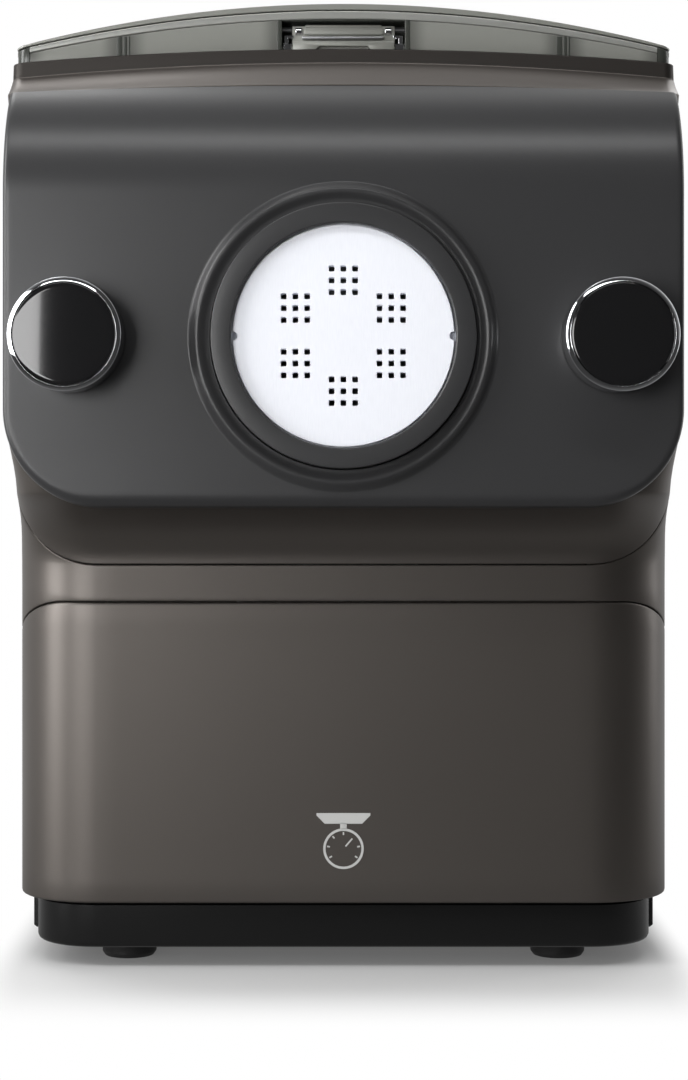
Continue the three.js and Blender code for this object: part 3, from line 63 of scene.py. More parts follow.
# Shape tools. All lengths below are in millimetres until a mesh is made.
def lerp(a, b, share):
    return a + (b - a) * share


def spread(start, end, count):
    return [lerp(start, end, i / (count - 1)) for i in range(count)]


def placed(a, b, along, axis):
    # a point from its two places across an axis and its place along it
    return {"x": (along, a, b), "y": (a, along, b), "z": (a, b, along)}[axis]


class Shape:
    # points and faces gathered from several patches, welded when the piece is made
    def __init__(self):
        self.points = []
        self.faces = []

    def add(self, points, faces):
        start = len(self.points)
        self.points += [tuple(p) for p in points]
        self.faces += [[start + i for i in face] for face in faces]
        return self

    def grid(self, rows, closed=False):
        width = len(rows[0])
        faces = []
        for i in range(len(rows) - 1):
            for j in range(width if closed else width - 1):
                k = (j + 1) % width
                faces.append([i * width + j, i * width + k, (i + 1) * width + k, (i + 1) * width + j])
        return self.add([p for row in rows for p in row], faces)

    def loft(self, rings):
        # a closed body over rings of equally many points
        width = len(rings[0])
        self.grid(rings, closed=True)
        last = len(self.points) - width
        start = len(self.points) - len(rings) * width
        self.faces.append([start + i for i in range(width)][::-1])
        self.faces.append([last + i for i in range(width)])
        return self

    def slab(self, upper, lower):
        # a closed body between two grids of the same layout
        self.grid(upper)
        self.grid([row[::-1] for row in lower])
        self.grid([upper[0], lower[0]])
        self.grid([upper[-1], lower[-1]])
        self.grid([[row[0] for row in upper], [row[0] for row in lower]])
        return self.grid([[row[-1] for row in upper], [row[-1] for row in lower]])

    def block(self, x0, x1, y0, y1, z0, z1, edge=0.3):
        # a box with softened edges
        rings = []
        for z, inset in ((z0, edge), (z0 + edge, 0), (z1 - edge, 0), (z1, edge)):
            rings.append(roundedRing(x0 + inset, x1 - inset, y0 + inset, y1 - inset, edge - inset / 2, z))
        return self.loft(rings)

    def pair(self, x0, x1, *rest):
        # a block on either side of the middle
        return self.block(-x1, -x0, *rest).block(x0, x1, *rest)

    def pushed(self, outline, start, end, axis="y"):
        # a flat outline carried along an axis
        return self.loft([[placed(p[0], p[1], along, axis) for p in outline] for along in (start, end)])

    def turned(self, profile, centre=(0, 0), sides=96, axis="y"):
        # a closed outline of (radius, place along the axis), turned about the axis
        rings = []
        for turn in range(sides):
            angle = 2 * math.pi * turn / sides
            ring = []
            for radius, place in profile:
                a = centre[0] + radius * math.cos(angle)
                b = centre[1] + radius * math.sin(angle)
                ring.append(placed(a, b, place, axis))
            rings.append(ring + ring[:1])
        return self.grid(rings + rings[:1])

    def rod(self, radius, start, end, centre, sides, axis="y", edge=0):
        outline = [(0, start, 0), (radius, start, edge), (radius, end, edge), (0, end, 0)]
        return self.turned(eased(outline), centre, sides, axis)


def roundedRing(x0, x1, y0, y1, radius, z=0, steps=3):
    ring = []
    corners = ((x1, y0, -1, 1, -halfPi), (x1, y1, -1, -1, 0))
    corners += ((x0, y1, 1, -1, halfPi), (x0, y0, 1, 1, math.pi))
    for x, y, toX, toY, start in corners:
        for i in range(steps + 1):
            angle = start + halfPi * i / steps
            right, up = radius * math.cos(angle), radius * math.sin(angle)
            ring.append((x + toX * radius + right, y + toY * radius + up, z))
    return ring


def eased(outline, steps=4):
    # an outline of (across, along, corner radius) with its corners turned into arcs
    made = []
    for i, (a, b, radius) in enumerate(outline):
        here = Vector((a, b))
        before = Vector(outline[i - 1][:2]) - here
        after = Vector(outline[(i + 1) % len(outline)][:2]) - here
        if radius <= 0:
            made.append((a, b))
            continue
        half = before.angle(after) / 2
        reach = min(radius / math.tan(half), 0.49 * min(before.length, after.length))
        arc = reach * math.tan(half)
        centre = here + (before.normalized() + after.normalized()).normalized() * (arc / math.sin(half))
        first = here + before.normalized() * reach - centre
        second = here + after.normalized() * reach - centre
        total = first.angle(second)
        for share in spread(0, 1, steps + 1):
            mixed = first * math.sin((1 - share) * total) + second * math.sin(share * total)
            made.append(tuple(centre + mixed / math.sin(total)))
    return made


def linked(name, data):
    piece = bpy.data.objects.new(name, data)
    bpy.context.scene.collection.objects.link(piece)
    return piece


def meshPiece(shape, name, material=None, centre=None, smooth=35):
    # material: a finish or its name; centre: a place inside an open skin, which its faces turn away from
    mesh = bpy.data.meshes.new(name)
    mesh.from_pydata([[c * millimetre for c in p] for p in shape.points], [], shape.faces)
    work = bmesh.new()
    work.from_mesh(mesh)
    bmesh.ops.remove_doubles(work, verts=work.verts, dist=2e-6)
    bmesh.ops.dissolve_degenerate(work, edges=work.edges, dist=1e-7)
    bmesh.ops.recalc_face_normals(work, faces=work.faces)
    if centre:
        inside = Vector(centre) * millimetre
        facing = sum(f.calc_area() * f.normal.dot(f.calc_center_median() - inside) for f in work.faces)
        if facing < 0:
            bmesh.ops.reverse_faces(work, faces=work.faces)
    work.to_mesh(mesh)
    work.free()
    if material:
        mesh.materials.append(finishes[material] if isinstance(material, str) else material)
    smoothed(mesh, smooth)
    return linked(name, mesh)


def smoothed(mesh, angle=35):
    mesh.polygons.foreach_set("use_smooth", [True] * len(mesh.polygons))
    mesh.set_sharp_from_angle(angle=math.radians(angle))


def settled(piece):
    # the modifiers' result becomes the piece's own mesh
    graph = bpy.context.evaluated_depsgraph_get()
    mesh = bpy.data.meshes.new_from_object(piece.evaluated_get(graph))
    piece.modifiers.clear()
    piece.data = mesh
    return piece


def modified(piece, kind, **values):
    change = piece.modifiers.new(kind.lower(), kind)
    for key, value in values.items():
        setattr(change, key, value)
    settled(piece)
    smoothed(piece.data)
    return piece


def walled(piece, thickness):
    return modified(piece, "SOLIDIFY", thickness=thickness * millimetre, offset=-1, use_even_offset=True)


def softened(piece, width, segments=3, angle=40):
    return modified(piece, "BEVEL", width=width * millimetre, segments=segments, limit_method="ANGLE",
                    angle_limit=math.radians(angle), use_clamp_overlap=False)


def carved(piece, *cutters):
    # cutters: shapes, or pieces that are used up
    for cutter in cutters:
        if isinstance(cutter, Shape):
            cutter = meshPiece(cutter, "cutter")
        modified(piece, "BOOLEAN", operation="DIFFERENCE", solver="EXACT", object=cutter)
        bpy.data.objects.remove(cutter)
    return piece


def evened(piece):
    # flat faces keep flat shading next to the curves that they run into
    piece.modifiers.new("lean", "WEIGHTED_NORMAL").keep_sharp = True
    return settled(piece)


def joined(name, *pieces):
    # several meshes as one piece
    work = bmesh.new()
    slots = []
    for piece in pieces:
        first = len(work.faces)
        work.from_mesh(piece.data)
        work.faces.ensure_lookup_table()
        for material in piece.data.materials:
            if material not in slots:
                slots.append(material)
        order = [slots.index(material) for material in piece.data.materials]
        for face in work.faces[first:]:
            face.material_index = order[min(face.material_index, len(order) - 1)]
    mesh = bpy.data.meshes.new(name)
    work.to_mesh(mesh)
    work.free()
    for material in slots:
        mesh.materials.append(material)
    for piece in pieces[1:]:
        bpy.data.objects.remove(piece)
    pieces[0].data = mesh
    pieces[0].name = name
    smoothed(mesh)
    return pieces[0]


def standsFor(piece, node, body=None):
    # the piece rides with a CAD node, or with a named body, and takes the node's place
    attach(piece, body or frame["nodes"][node]["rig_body"])
    if node:
        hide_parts(node)
    return piece


def shown(shape, name, slot, node=None, body=None, material=None):
    # a shape made and put in its place
    return standsFor(meshPiece(shape, name, material or slot), node, body)


# Trees of nodes
def maths(operation, second=None, kind="ShaderNodeMath"):
    return (kind, {"operation": operation, **({} if second is None else {1: second})})


def vectors(operation, second=None):
    return maths(operation, second, "ShaderNodeVectorMath")


def wired(tree, steps, links):
    # steps: name: node type, or (node type, values); links: "node.output > node.input; and so on"
    nodes = {}
    for label, step in steps.items():
        kind, values = (step, {}) if isinstance(step, str) else step
        node = nodes[label] = tree.nodes.new(kind)
        for key, value in values.items():
            if isinstance(key, int) or key in node.inputs:
                node.inputs[key].default_value = value
            else:
                setattr(node, key, value)
    for link in links.split(";"):
        ends = [end.strip().split(".") for end in link.split(">")]
        (start, output), (end, target) = [(a, int(b) if b.isdigit() else b) for a, b in ends]
        tree.links.new(nodes[start].outputs[output], nodes[end].inputs[target])
    return nodes


def nodeGroup(name, kind, inputs, outputs, steps, links):
    # the type of an input's first value picks its socket; a word names a socket type without a value
    tree = bpy.data.node_groups.new(name, kind)
    for way, sockets in (("INPUT", inputs), ("OUTPUT", outputs)):
        for label, value in sockets.items():
            socket = {int: "Int", float: "Float", str: value}.get(type(value))
            socket = socket or {3: "Vector", 4: "Color"}[len(value)]
            item = tree.interface.new_socket(label, in_out=way, socket_type="NodeSocket" + socket)
            if not isinstance(value, str):
                item.default_value = value
    wired(tree, {"in": "NodeGroupInput", **steps, "out": "NodeGroupOutput"}, links)
    return tree


def repeating(name, inputs, steps, links):
    # a tree that sets a shape on points, makes the copies real and gives them a material
    steps = {**steps, "place": "GeometryNodeInstanceOnPoints", "real": "GeometryNodeRealizeInstances",
             "colour": "GeometryNodeSetMaterial"}
    links += """; place.Instances > real.Geometry; real.Geometry > colour.Geometry;
        in.Material > colour.Material; colour.Geometry > out.Geometry"""
    inputs = {"Geometry": "Geometry", **inputs, "Material": "Material"}
    return nodeGroup(name, "GeometryNodeTree", inputs, {"Geometry": "Geometry"}, steps, links)


def grown(base, tree, **values):
    build = base.modifiers.new("build", "NODES")
    build.node_group = tree
    for item in tree.interface.items_tree:
        if item.item_type == "SOCKET" and item.in_out == "INPUT" and item.name in values:
            build[item.identifier] = values[item.name]
    settled(base)
    smoothed(base.data)
    return base


# one shape repeated along a line
inRow = repeating("row of shapes", {"Count": 2, "Step": (0, 0, 0)}, {
    "line": ("GeometryNodeMeshLine", {"mode": "OFFSET"}),
}, "in.Count > line.Count; in.Step > line.Offset; line.Mesh > place.Points; in.Geometry > place.Instance")

# one shape in square groups, the groups set round a circle in the XZ plane
clusterSizes = {"Groups": 6, "Group radius": 0.01, "Rows": 3, "Group size": 0.005}
inClusters = repeating("groups of holes", clusterSizes, {
    "circle": ("GeometryNodeMeshCircle", {"fill_type": "NONE"}),
    "upright": ("GeometryNodeTransform", {"Rotation": (halfPi, math.pi / 6, 0)}),
    "square": "GeometryNodeMeshGrid",
    "stood": ("GeometryNodeTransform", {"Rotation": (halfPi, 0, 0)}),
    "groups": "GeometryNodeInstanceOnPoints",
    "points": "GeometryNodeRealizeInstances",
}, """in.Groups > circle.Vertices; in.Group radius > circle.Radius; circle.Mesh > upright.Geometry;
    in.Rows > square.Vertices X; in.Rows > square.Vertices Y; in.Group size > square.Size X;
    in.Group size > square.Size Y; square.Mesh > stood.Geometry; upright.Geometry > groups.Points;
    stood.Geometry > groups.Instance; groups.Instances > points.Geometry; points.Geometry > place.Points;
    in.Geometry > place.Instance""")

# a cross-recessed screw head on each point, turned the way asked for
withScrews = repeating("screw heads", {"Radius": 0.003, "Height": 0.001, "Turn": (0, 0, 0)}, {
    "top": maths("MULTIPLY", 0.8),
    "head": ("GeometryNodeMeshCone", {"Vertices": 28}),
    "long": maths("MULTIPLY", 1.3),
    "thin": maths("MULTIPLY", 0.3),
    "barSize": "ShaderNodeCombineXYZ",
    "crossSize": "ShaderNodeCombineXYZ",
    "bar": "GeometryNodeMeshCube",
    "cross": "GeometryNodeMeshCube",
    "lift": "ShaderNodeCombineXYZ",
    "barUp": "GeometryNodeTransform",
    "crossUp": "GeometryNodeTransform",
    "recess": ("GeometryNodeMeshBoolean", {"operation": "DIFFERENCE", "solver": "EXACT"}),
    "turned": "GeometryNodeTransform",
}, """in.Radius > top.0; in.Radius > head.Radius Bottom; top.0 > head.Radius Top; in.Height > head.Depth;
    in.Radius > long.0; in.Radius > thin.0; long.0 > barSize.X; thin.0 > barSize.Y; in.Height > barSize.Z;
    thin.0 > crossSize.X; long.0 > crossSize.Y; in.Height > crossSize.Z; barSize.0 > bar.Size;
    crossSize.0 > cross.Size; in.Height > lift.Z; bar.Mesh > barUp.Geometry; lift.0 > barUp.Translation;
    cross.Mesh > crossUp.Geometry; lift.0 > crossUp.Translation; head.Mesh > recess.Mesh 1;
    barUp.Geometry > recess.Mesh 2; crossUp.Geometry > recess.Mesh 2; recess.Mesh > turned.Geometry;
    in.Turn > turned.Rotation; in.Geometry > place.Points; turned.Geometry > place.Instance""")


def screws(name, points, radius, height, turn):
    # screw heads at points in millimetres, riding with the root
    mesh = bpy.data.meshes.new(name)
    mesh.from_pydata([[c * millimetre for c in p] for p in points], [], [])
    size = {"Radius": radius * millimetre, "Height": height * millimetre}
    piece = grown(linked(name, mesh), withScrews, **size, Turn=(turn, 0.0, 0.0), Material=finishes["steel"])
    standsFor(piece, None, "root")


print("tools ready")


# Finishes
def linear(red, green, blue):
    # a colour as seen on screen, 0 to 255, in the numbers that the shader takes
    shares = [value / 255 for value in (red, green, blue)]
    return tuple(v / 12.92 if v <= 0.04045 else ((v + 0.055) / 1.055) ** 2.4 for v in shares) + (1.0,)


def surfaceGroup(name, inputs, steps, links):
    # a shaded colour, and a gloss and a height that follow the grain
    inputs = {"Colour": (0.5, 0.5, 0.5, 1), "Roughness": 0.4, "Gloss spread": 0.05, **inputs}
    steps = {
        "place": "ShaderNodeTexCoord",
        "tint": vectors("SCALE"),
        "middle": maths("SUBTRACT", 0.5),
        "wide": maths("MULTIPLY"),
        "gloss": maths("ADD"),
        **steps,
    }
    links += """; in.Colour > tint.0; shade.0 > tint.Scale; tint.0 > out.Colour; grain.Fac > middle.0;
        middle.0 > wide.0; in.Gloss spread > wide.1; wide.0 > gloss.0; in.Roughness > gloss.1;
        gloss.0 > out.Roughness; grain.Fac > out.Height"""
    outputs = {"Colour": "Color", "Roughness": "Float", "Height": "Float"}
    return nodeGroup(name, "ShaderNodeTree", inputs, outputs, steps, links)


# moulded or painted surface: fine pimples, slow cloudiness of colour
fineGrain = surfaceGroup("fine grain", {"Grain size": 2500.0, "Cloud strength": 0.04}, {
    "grain": ("ShaderNodeTexNoise", {"Detail": 2.0, "Roughness": 0.6}),
    "clouds": ("ShaderNodeTexNoise", {"Scale": 14.0, "Detail": 3.0}),
    "shade": ("ShaderNodeMapRange", {"From Min": 0.3, "From Max": 0.7}),
    "low": ("ShaderNodeMath", {"operation": "SUBTRACT", 0: 1.0}),
    "high": ("ShaderNodeMath", {"operation": "ADD", 0: 1.0}),
}, """place.Object > grain.Vector; place.Object > clouds.Vector; in.Grain size > grain.Scale;
    in.Cloud strength > low.1; in.Cloud strength > high.1; clouds.Fac > shade.Value;
    low.0 > shade.To Min; high.0 > shade.To Max""")

# metal drawn or turned in one direction: long streaks
brushedMetal = surfaceGroup("brushed metal", {"Stretch": (200.0, 4000.0, 4000.0)}, {
    "stretched": vectors("MULTIPLY"),
    "grain": ("ShaderNodeTexNoise", {"Scale": 1.0, "Detail": 2.0}),
    "shade": ("ShaderNodeMapRange", {"From Min": 0.3, "From Max": 0.7, "To Min": 0.975, "To Max": 1.015}),
}, """place.Object > stretched.0; in.Stretch > stretched.1; stretched.0 > grain.Vector;
    grain.Fac > shade.Value""")


def windowPaintedShadeGroup():
    # painted shade: the lid's windows darken softly beside the ribs, the bay and the end walls behind them,
    # where those block the light
    edges = (0.0212, 0.068, 0.0724, 0.0999)
    steps = {
        "place": "ShaderNodeTexCoord",
        "split": "ShaderNodeSeparateXYZ",
        "across": maths("ABSOLUTE"),
        "tint": vectors("SCALE"),
    }
    links = "place.Object > split.Vector; split.X > across.0; in.Colour > tint.0"
    last = None
    for i, edge in enumerate(edges):
        apart, near, shade, both = ("%s%d" % (word, i) for word in ("apart", "near", "shade", "both"))
        steps[apart] = maths("SUBTRACT", edge)
        steps[near] = maths("ABSOLUTE")
        steps[shade] = ("ShaderNodeMapRange", {"interpolation_type": "SMOOTHSTEP"})
        links += f"; across.0 > {apart}.0; {apart}.0 > {near}.0; {near}.0 > {shade}.Value"
        links += f"; in.Reach > {shade}.From Max; in.Edge tone > {shade}.To Min"
        if last:
            steps[both] = maths("MULTIPLY")
            links += f"; {last}.0 > {both}.0; {shade}.0 > {both}.1"
        last = both if last else shade
    links += f"; {last}.0 > tint.Scale; tint.0 > out.Colour"
    inputs = {"Colour": (0.3, 0.3, 0.3, 1), "Edge tone": 0.55, "Reach": 0.006}
    return nodeGroup("window shade", "ShaderNodeTree", inputs, {"Colour": "Color"}, steps, links)


def finish(name, group, bump, shader, **values):
    material = bpy.data.materials.new(name)
    material.use_nodes = True
    material.node_tree.nodes.clear()
    steps = {
        "effect": ("ShaderNodeGroup", {"node_tree": group, **values}),
        "bump": ("ShaderNodeBump", {"Strength": bump, "Distance": 0.00005}),
        "shader": ("ShaderNodeBsdfPrincipled", shader),
        "out": "ShaderNodeOutputMaterial",
    }
    wired(material.node_tree, steps, """effect.Colour > shader.Base Color;
        effect.Roughness > shader.Roughness; effect.Height > bump.Height; bump.Normal > shader.Normal;
        shader.BSDF > out.Surface""")
    return material


def moulded(name, colour, roughness, grain, bump, clouds, gloss, shader=None):
    settings = {"Colour": linear(*colour), "Roughness": roughness, "Grain size": grain}
    settings.update({"Cloud strength": clouds, "Gloss spread": gloss})
    return finish(name, fineGrain, bump, shader or {}, **settings)


def metal(name, colour, roughness, stretch, bump, gloss, metallic=1.0):
    settings = {"Colour": linear(*colour), "Roughness": roughness, "Stretch": stretch, "Gloss spread": gloss}
    return finish(name, brushedMetal, bump, {"Metallic": metallic}, **settings)


def coated(weight, roughness, **more):
    return {"Coat Weight": weight, "Coat Roughness": roughness, **more}


def glassy(weight):
    return {"Transmission Weight": weight, "IOR": 1.46}


# name, colour, roughness, grain size, bump, clouds, gloss spread
finishes = {
    "housing_taupe": moulded("taupe satin paint", (94, 89, 85), 0.4, 3500.0, 0.12, 0.02, 0.04,
                             coated(0.1, 0.25, Metallic=0.72)),
    "panel_charcoal": moulded("charcoal soft plastic", (53, 53, 54), 0.31, 2600.0, 0.35, 0.025, 0.06,
                              {"Specular IOR Level": 0.45}),
    "gloss_black": moulded("piano black", (22, 22, 23), 0.08, 900.0, 0.0, 0.02, 0.01, coated(0.6, 0.04)),
    "base_black": moulded("black moulded plastic", (8, 8, 8), 0.25, 2200.0, 0.35, 0.04, 0.06),
    "rubber": moulded("black rubber", (16, 16, 16), 0.75, 1500.0, 0.5, 0.05, 0.08),
    "lid_grey": moulded("grey-green lid plastic", (140, 141, 135), 0.32, 3000.0, 0.12, 0.02, 0.04,
                        coated(0.2, 0.12, Metallic=0.2)),
    "smoke_plastic": moulded("smoky lid window", (150, 151, 145), 0.16, 900.0, 0.02, 0.02, 0.02,
                             glassy(0.25)),
    "clear_plastic": moulded("clear grey plastic", (190, 194, 194), 0.12, 900.0, 0.02, 0.01, 0.02,
                             glassy(0.6)),
    "inner_plastic": moulded("inner black plastic", (34, 34, 34), 0.55, 2000.0, 0.4, 0.04, 0.06),
    "paddle_plastic": moulded("paddle plastic", (150, 152, 152), 0.38, 2500.0, 0.2, 0.03, 0.05),
    "display_glass": moulded("display glass", (6, 8, 10), 0.05, 900.0, 0.0, 0.01, 0.01, coated(1.0, 0.02)),
    "button_grey": moulded("grey button", (120, 121, 122), 0.4, 2500.0, 0.25, 0.03, 0.05),
    "circuit_board": moulded("circuit board", (28, 84, 52), 0.45, 600.0, 0.1, 0.12, 0.08),
    "gear_plastic": moulded("gear plastic", (226, 221, 208), 0.42, 2000.0, 0.2, 0.03, 0.05),
    "disc_metal": metal("disc metal", (246, 248, 255), 0.5, (3000.0, 3000.0, 260.0), 0.01, 0.03, 0.0),
    "chrome": metal("chrome", (228, 229, 232), 0.07, (900.0, 900.0, 900.0), 0.0, 0.03),
    "steel": metal("plain steel", (168, 169, 171), 0.32, (300.0, 3000.0, 3000.0), 0.15, 0.15),
    "aluminium": metal("machined aluminium", (200, 201, 203), 0.36, (150.0, 5000.0, 5000.0), 0.2, 0.12),
}
markGrey = moulded("pale printed mark", (196, 196, 194), 0.35, 3000.0, 0.05, 0.01, 0.02)
rimGrey = moulded("light lid rim", (172, 173, 168), 0.26, 3000.0, 0.08, 0.02, 0.03,
                  coated(0.3, 0.1, Metallic=0.45))
# painted shadow: a darker taupe for the band that the lid shades
lidShadowTaupe = moulded("dark taupe lid seat", (50, 46, 43), 0.5, 3500.0, 0.12, 0.02, 0.04, {"Metallic": 0.5})
smokeDark = moulded("dark smoky rib", (62, 64, 60), 0.22, 1500.0, 0.05, 0.03, 0.03)


def windowWithPaintedShade():
    # the smoky finish with the painted window shade between its colour and its shader
    material = finishes["smoke_plastic"].copy()
    material.name = "shaded lid window"
    tree = material.node_tree
    found = {node.type: node for node in tree.nodes}
    shade = tree.nodes.new("ShaderNodeGroup")
    shade.node_tree = windowPaintedShadeGroup()
    tree.links.new(found["GROUP"].outputs["Colour"], shade.inputs["Colour"])
    tree.links.new(shade.outputs["Colour"], found["BSDF_PRINCIPLED"].inputs["Base Color"])
    return material


smokeWithPaintedShade = windowWithPaintedShade()
print("finishes ready")


shaftHeight = 198.0
knobPlaces = ((-82.8, 197.7), (82.8, 197.7))

# The housing's skin: level outlines stacked up a height line, read at (column, height line)
housing = {
    "half": 105.0, "front": -127.5, "rear": 171.5, "split": 130.0, "bottom": 20.8,
    "corner": 27.0, "rearCorner": 20.0, "neckCorner": 20.0, "headCorner": 8.0, "browCorner": 3.5,
    "neckBottom": 128.0, "coveTop": 151.0, "coveReach": 22.1, "covePowers": (2.4, 1.35), "headStart": 174.5,
    "sideStart": 0.4,
    "rollHeight": 242.0, "rollY": -112.5, "roll": 37.1, "panelRoll": 43.0, "panelGap": 0.4,
    "browFoot": (-136.8, 277.9), "browKnee": (-126.8, 286.5), "browTop": (-126.9, 290.9), "browSag": 0.5,
    "browDrop": 2.8, "kneeDrop": 4.9, "roofDrop": 4.4, "archHalf": 103.0,
    "noseSeat": 288.0, "noseRange": (46.6, 74.4),
    "tuckStart": 268.0, "tuckRise": 20.0, "tuck": 0.5,
    "waist": 2.6, "waistMiddle": 154.0, "waistReach": 26.0, "waistInLines": 0.8,
    "wall": 2.5, "edge": 0.35,
}
browRise = housing["browFoot"][1] - housing["panelGap"] - housing["rollHeight"]
browAngle = math.asin(browRise / housing["panelRoll"])


def tucked(z):
    # the side walls lean in a little under the lid
    return housing["half"] - housing["tuck"] * max(0, (z - housing["tuckStart"]) / housing["tuckRise"]) ** 2


def waisted(z, share):
    # the sides draw in a little beside the neck, and less towards the rear
    turn = 1 + (z - housing["waistMiddle"]) / housing["waistReach"]
    return housing["waist"] * math.sin(turn * halfPi) ** 2 * (1 - share) ** 2 if 0 < turn < 2 else 0


def arched(x, drop):
    return drop * (x / housing["archHalf"]) ** 2


def heightLine(v):
    # front face, corner radius, height, and how far the sides drop, at a place up the housing
    h = housing
    headFront = h["front"] - h["coveReach"]
    if v <= 1:
        return h["front"], h["corner"], lerp(h["bottom"], h["neckBottom"], v), 0
    if v <= 2:
        # a hollow that rounds over where it meets the head
        share = v - 1
        inner, outer = h["covePowers"]
        reach = 1 - (1 - share ** inner) ** outer
        corner = lerp(h["corner"], h["neckCorner"], share)
        return h["front"] - h["coveReach"] * reach, corner, lerp(h["neckBottom"], h["coveTop"], share), 0
    if v <= 3:
        corner = lerp(h["neckCorner"], h["headCorner"], math.sin((v - 2) * halfPi))
        return headFront, corner, lerp(h["coveTop"], h["headStart"], v - 2), 0
    if v <= 4:
        return headFront, h["headCorner"], lerp(h["headStart"], h["rollHeight"], v - 3), 0
    if v <= 5:
        share = v - 4
        turn = share * browAngle
        y, z = h["rollY"] - h["roll"] * math.cos(turn), h["rollHeight"] + h["roll"] * math.sin(turn)
        return y, lerp(h["headCorner"], h["browCorner"], share), z, h["browDrop"] * share ** 2
    # the brow runs back from the panel, then turns up to the roof
    share = (v - 6) * 2
    (y0, z0), (y1, z1), drops = h["browFoot"], h["browKnee"], (h["browDrop"], h["kneeDrop"])
    sag = h["browSag"] * math.sin(math.pi * share) if share <= 1 else 0
    if share > 1:
        share -= 1
        (y0, z0), (y1, z1), drops = h["browKnee"], h["browTop"], (h["kneeDrop"], h["roofDrop"])
    return lerp(y0, y1, share), h["browCorner"], lerp(z0, z1, share) - sag, lerp(*drops, share)


def skinPoint(column, v):
    kind, value, side = column
    front, corner, z, drop = heightLine(v)
    half = tucked(z - drop) - waisted(z, value if kind == "side" else 0)
    if kind == "side":
        x, y = half, lerp(front + corner + housing["sideStart"], housing["split"], value)
    elif kind == "corner":
        x, y = half - corner + corner * math.cos(value), front + corner - corner * math.sin(value)
    else:
        x, y = value * (half - corner), front
    return (side * x, y, z - arched(x, drop))


def solvedLine(column, start, end, heightAt):
    # where a column crosses a line drawn on the front, by halving; the waist doesn't sink the line
    along = column[1] if column[0] == "side" else 0
    for _ in range(40):
        middle = (start + end) / 2
        x, _y, z = skinPoint(column, middle)
        if z < heightAt(abs(x) + housing["waistInLines"] * waisted(z, along)):
            start = middle
        else:
            end = middle
    return start


def archLine(x, start, reach, level, rise):
    across = min(1, max(0, (x - start) / reach))
    return level + rise * math.sqrt(1 - across ** 2)


def seamHeight(x):
    # upper and lower housing meet level across the front, rising at the sides
    return archLine(x, start=78, reach=27, level=154, rise=-26)


def drawerHeight(x):
    return archLine(x, start=88.5, reach=16.5, level=105.2, rise=11)


sideShares = [1, 0.94, 0.87, 0.82, 0.772, 0.7695, 0.72, 0.69, 0.657, 0.6545, 0.6, 0.52, 0.44, 0.36, 0.28]
sideShares += [0.2, 0.13, 0.08, 0.04, 0.015, 0]
frontShares = spread(0, 1, 13)
roofShares = [-share for share in reversed(frontShares)] + frontShares[1:]
sideColumns = [("side", share, 1) for share in sideShares]
cornerColumns = [("corner", halfPi * i / 12, 1) for i in range(13)]
frontHalf = [("front", share, 1) for share in reversed(frontShares[:-1])]


def bothSides(rightHalf):
    left = [(kind, value, -1) for kind, value, _side in rightHalf if (kind, value) != ("front", 0)]
    return left + rightHalf[::-1]


sideToSide = bothSides(sideColumns + cornerColumns[1:] + frontHalf)
cornerToCorner = bothSides(cornerColumns + frontHalf)


def lowerHousing():
    gap = 0.3
    steps = spread(0, 1, 10)

    def lowEnd(column):
        # level along the sides
        level = drawerHeight(housing["half"]) if column[0] == "side" else None
        return solvedLine(column, 0, 1, lambda x: (level or drawerHeight(x)) + gap)

    ends = [(c, lowEnd(c), solvedLine(c, 0.9, 3, seamHeight)) for c in sideToSide]
    rows = [[skinPoint(c, lerp(low, min(high, 2), share)) for c, low, high in ends] for share in steps]
    rows += [[skinPoint(c, lerp(min(high, 2), high, share)) for c, _low, high in ends] for share in (0.5, 1)]
    shape = Shape().grid(rows)
    for side in (-1, 1):
        columns = [(c, low) for c, low, _high in ends if c[0] == "side" and c[2] == side]
        shape.grid([[skinPoint(c, low * share) for c, low in columns] for share in steps])
    piece = meshPiece(shape, "lower_housing_shell", "housing_taupe", (0, 0, 90))
    softened(walled(piece, housing["wall"]), housing["edge"])
    standsFor(piece, "lower_housing")


def drawerFront():
    drawer = {"wall": 3.0, "edge": 0.8, "foot": 21.2, "rows": 14}
    foot = (drawer["foot"] - housing["bottom"]) / (housing["neckBottom"] - housing["bottom"])
    ends = [(c, solvedLine(c, 0, 1, drawerHeight)) for c in cornerToCorner]
    shares = spread(0, 1, drawer["rows"])
    rows = [[skinPoint(c, lerp(foot, top, share)) for c, top in ends] for share in shares]
    piece = meshPiece(Shape().grid(rows), "drawer_front_skin", "housing_taupe", (0, 0, 70))
    softened(walled(piece, drawer["wall"]), drawer["edge"], 4)
    standsFor(piece, "drawer_front")


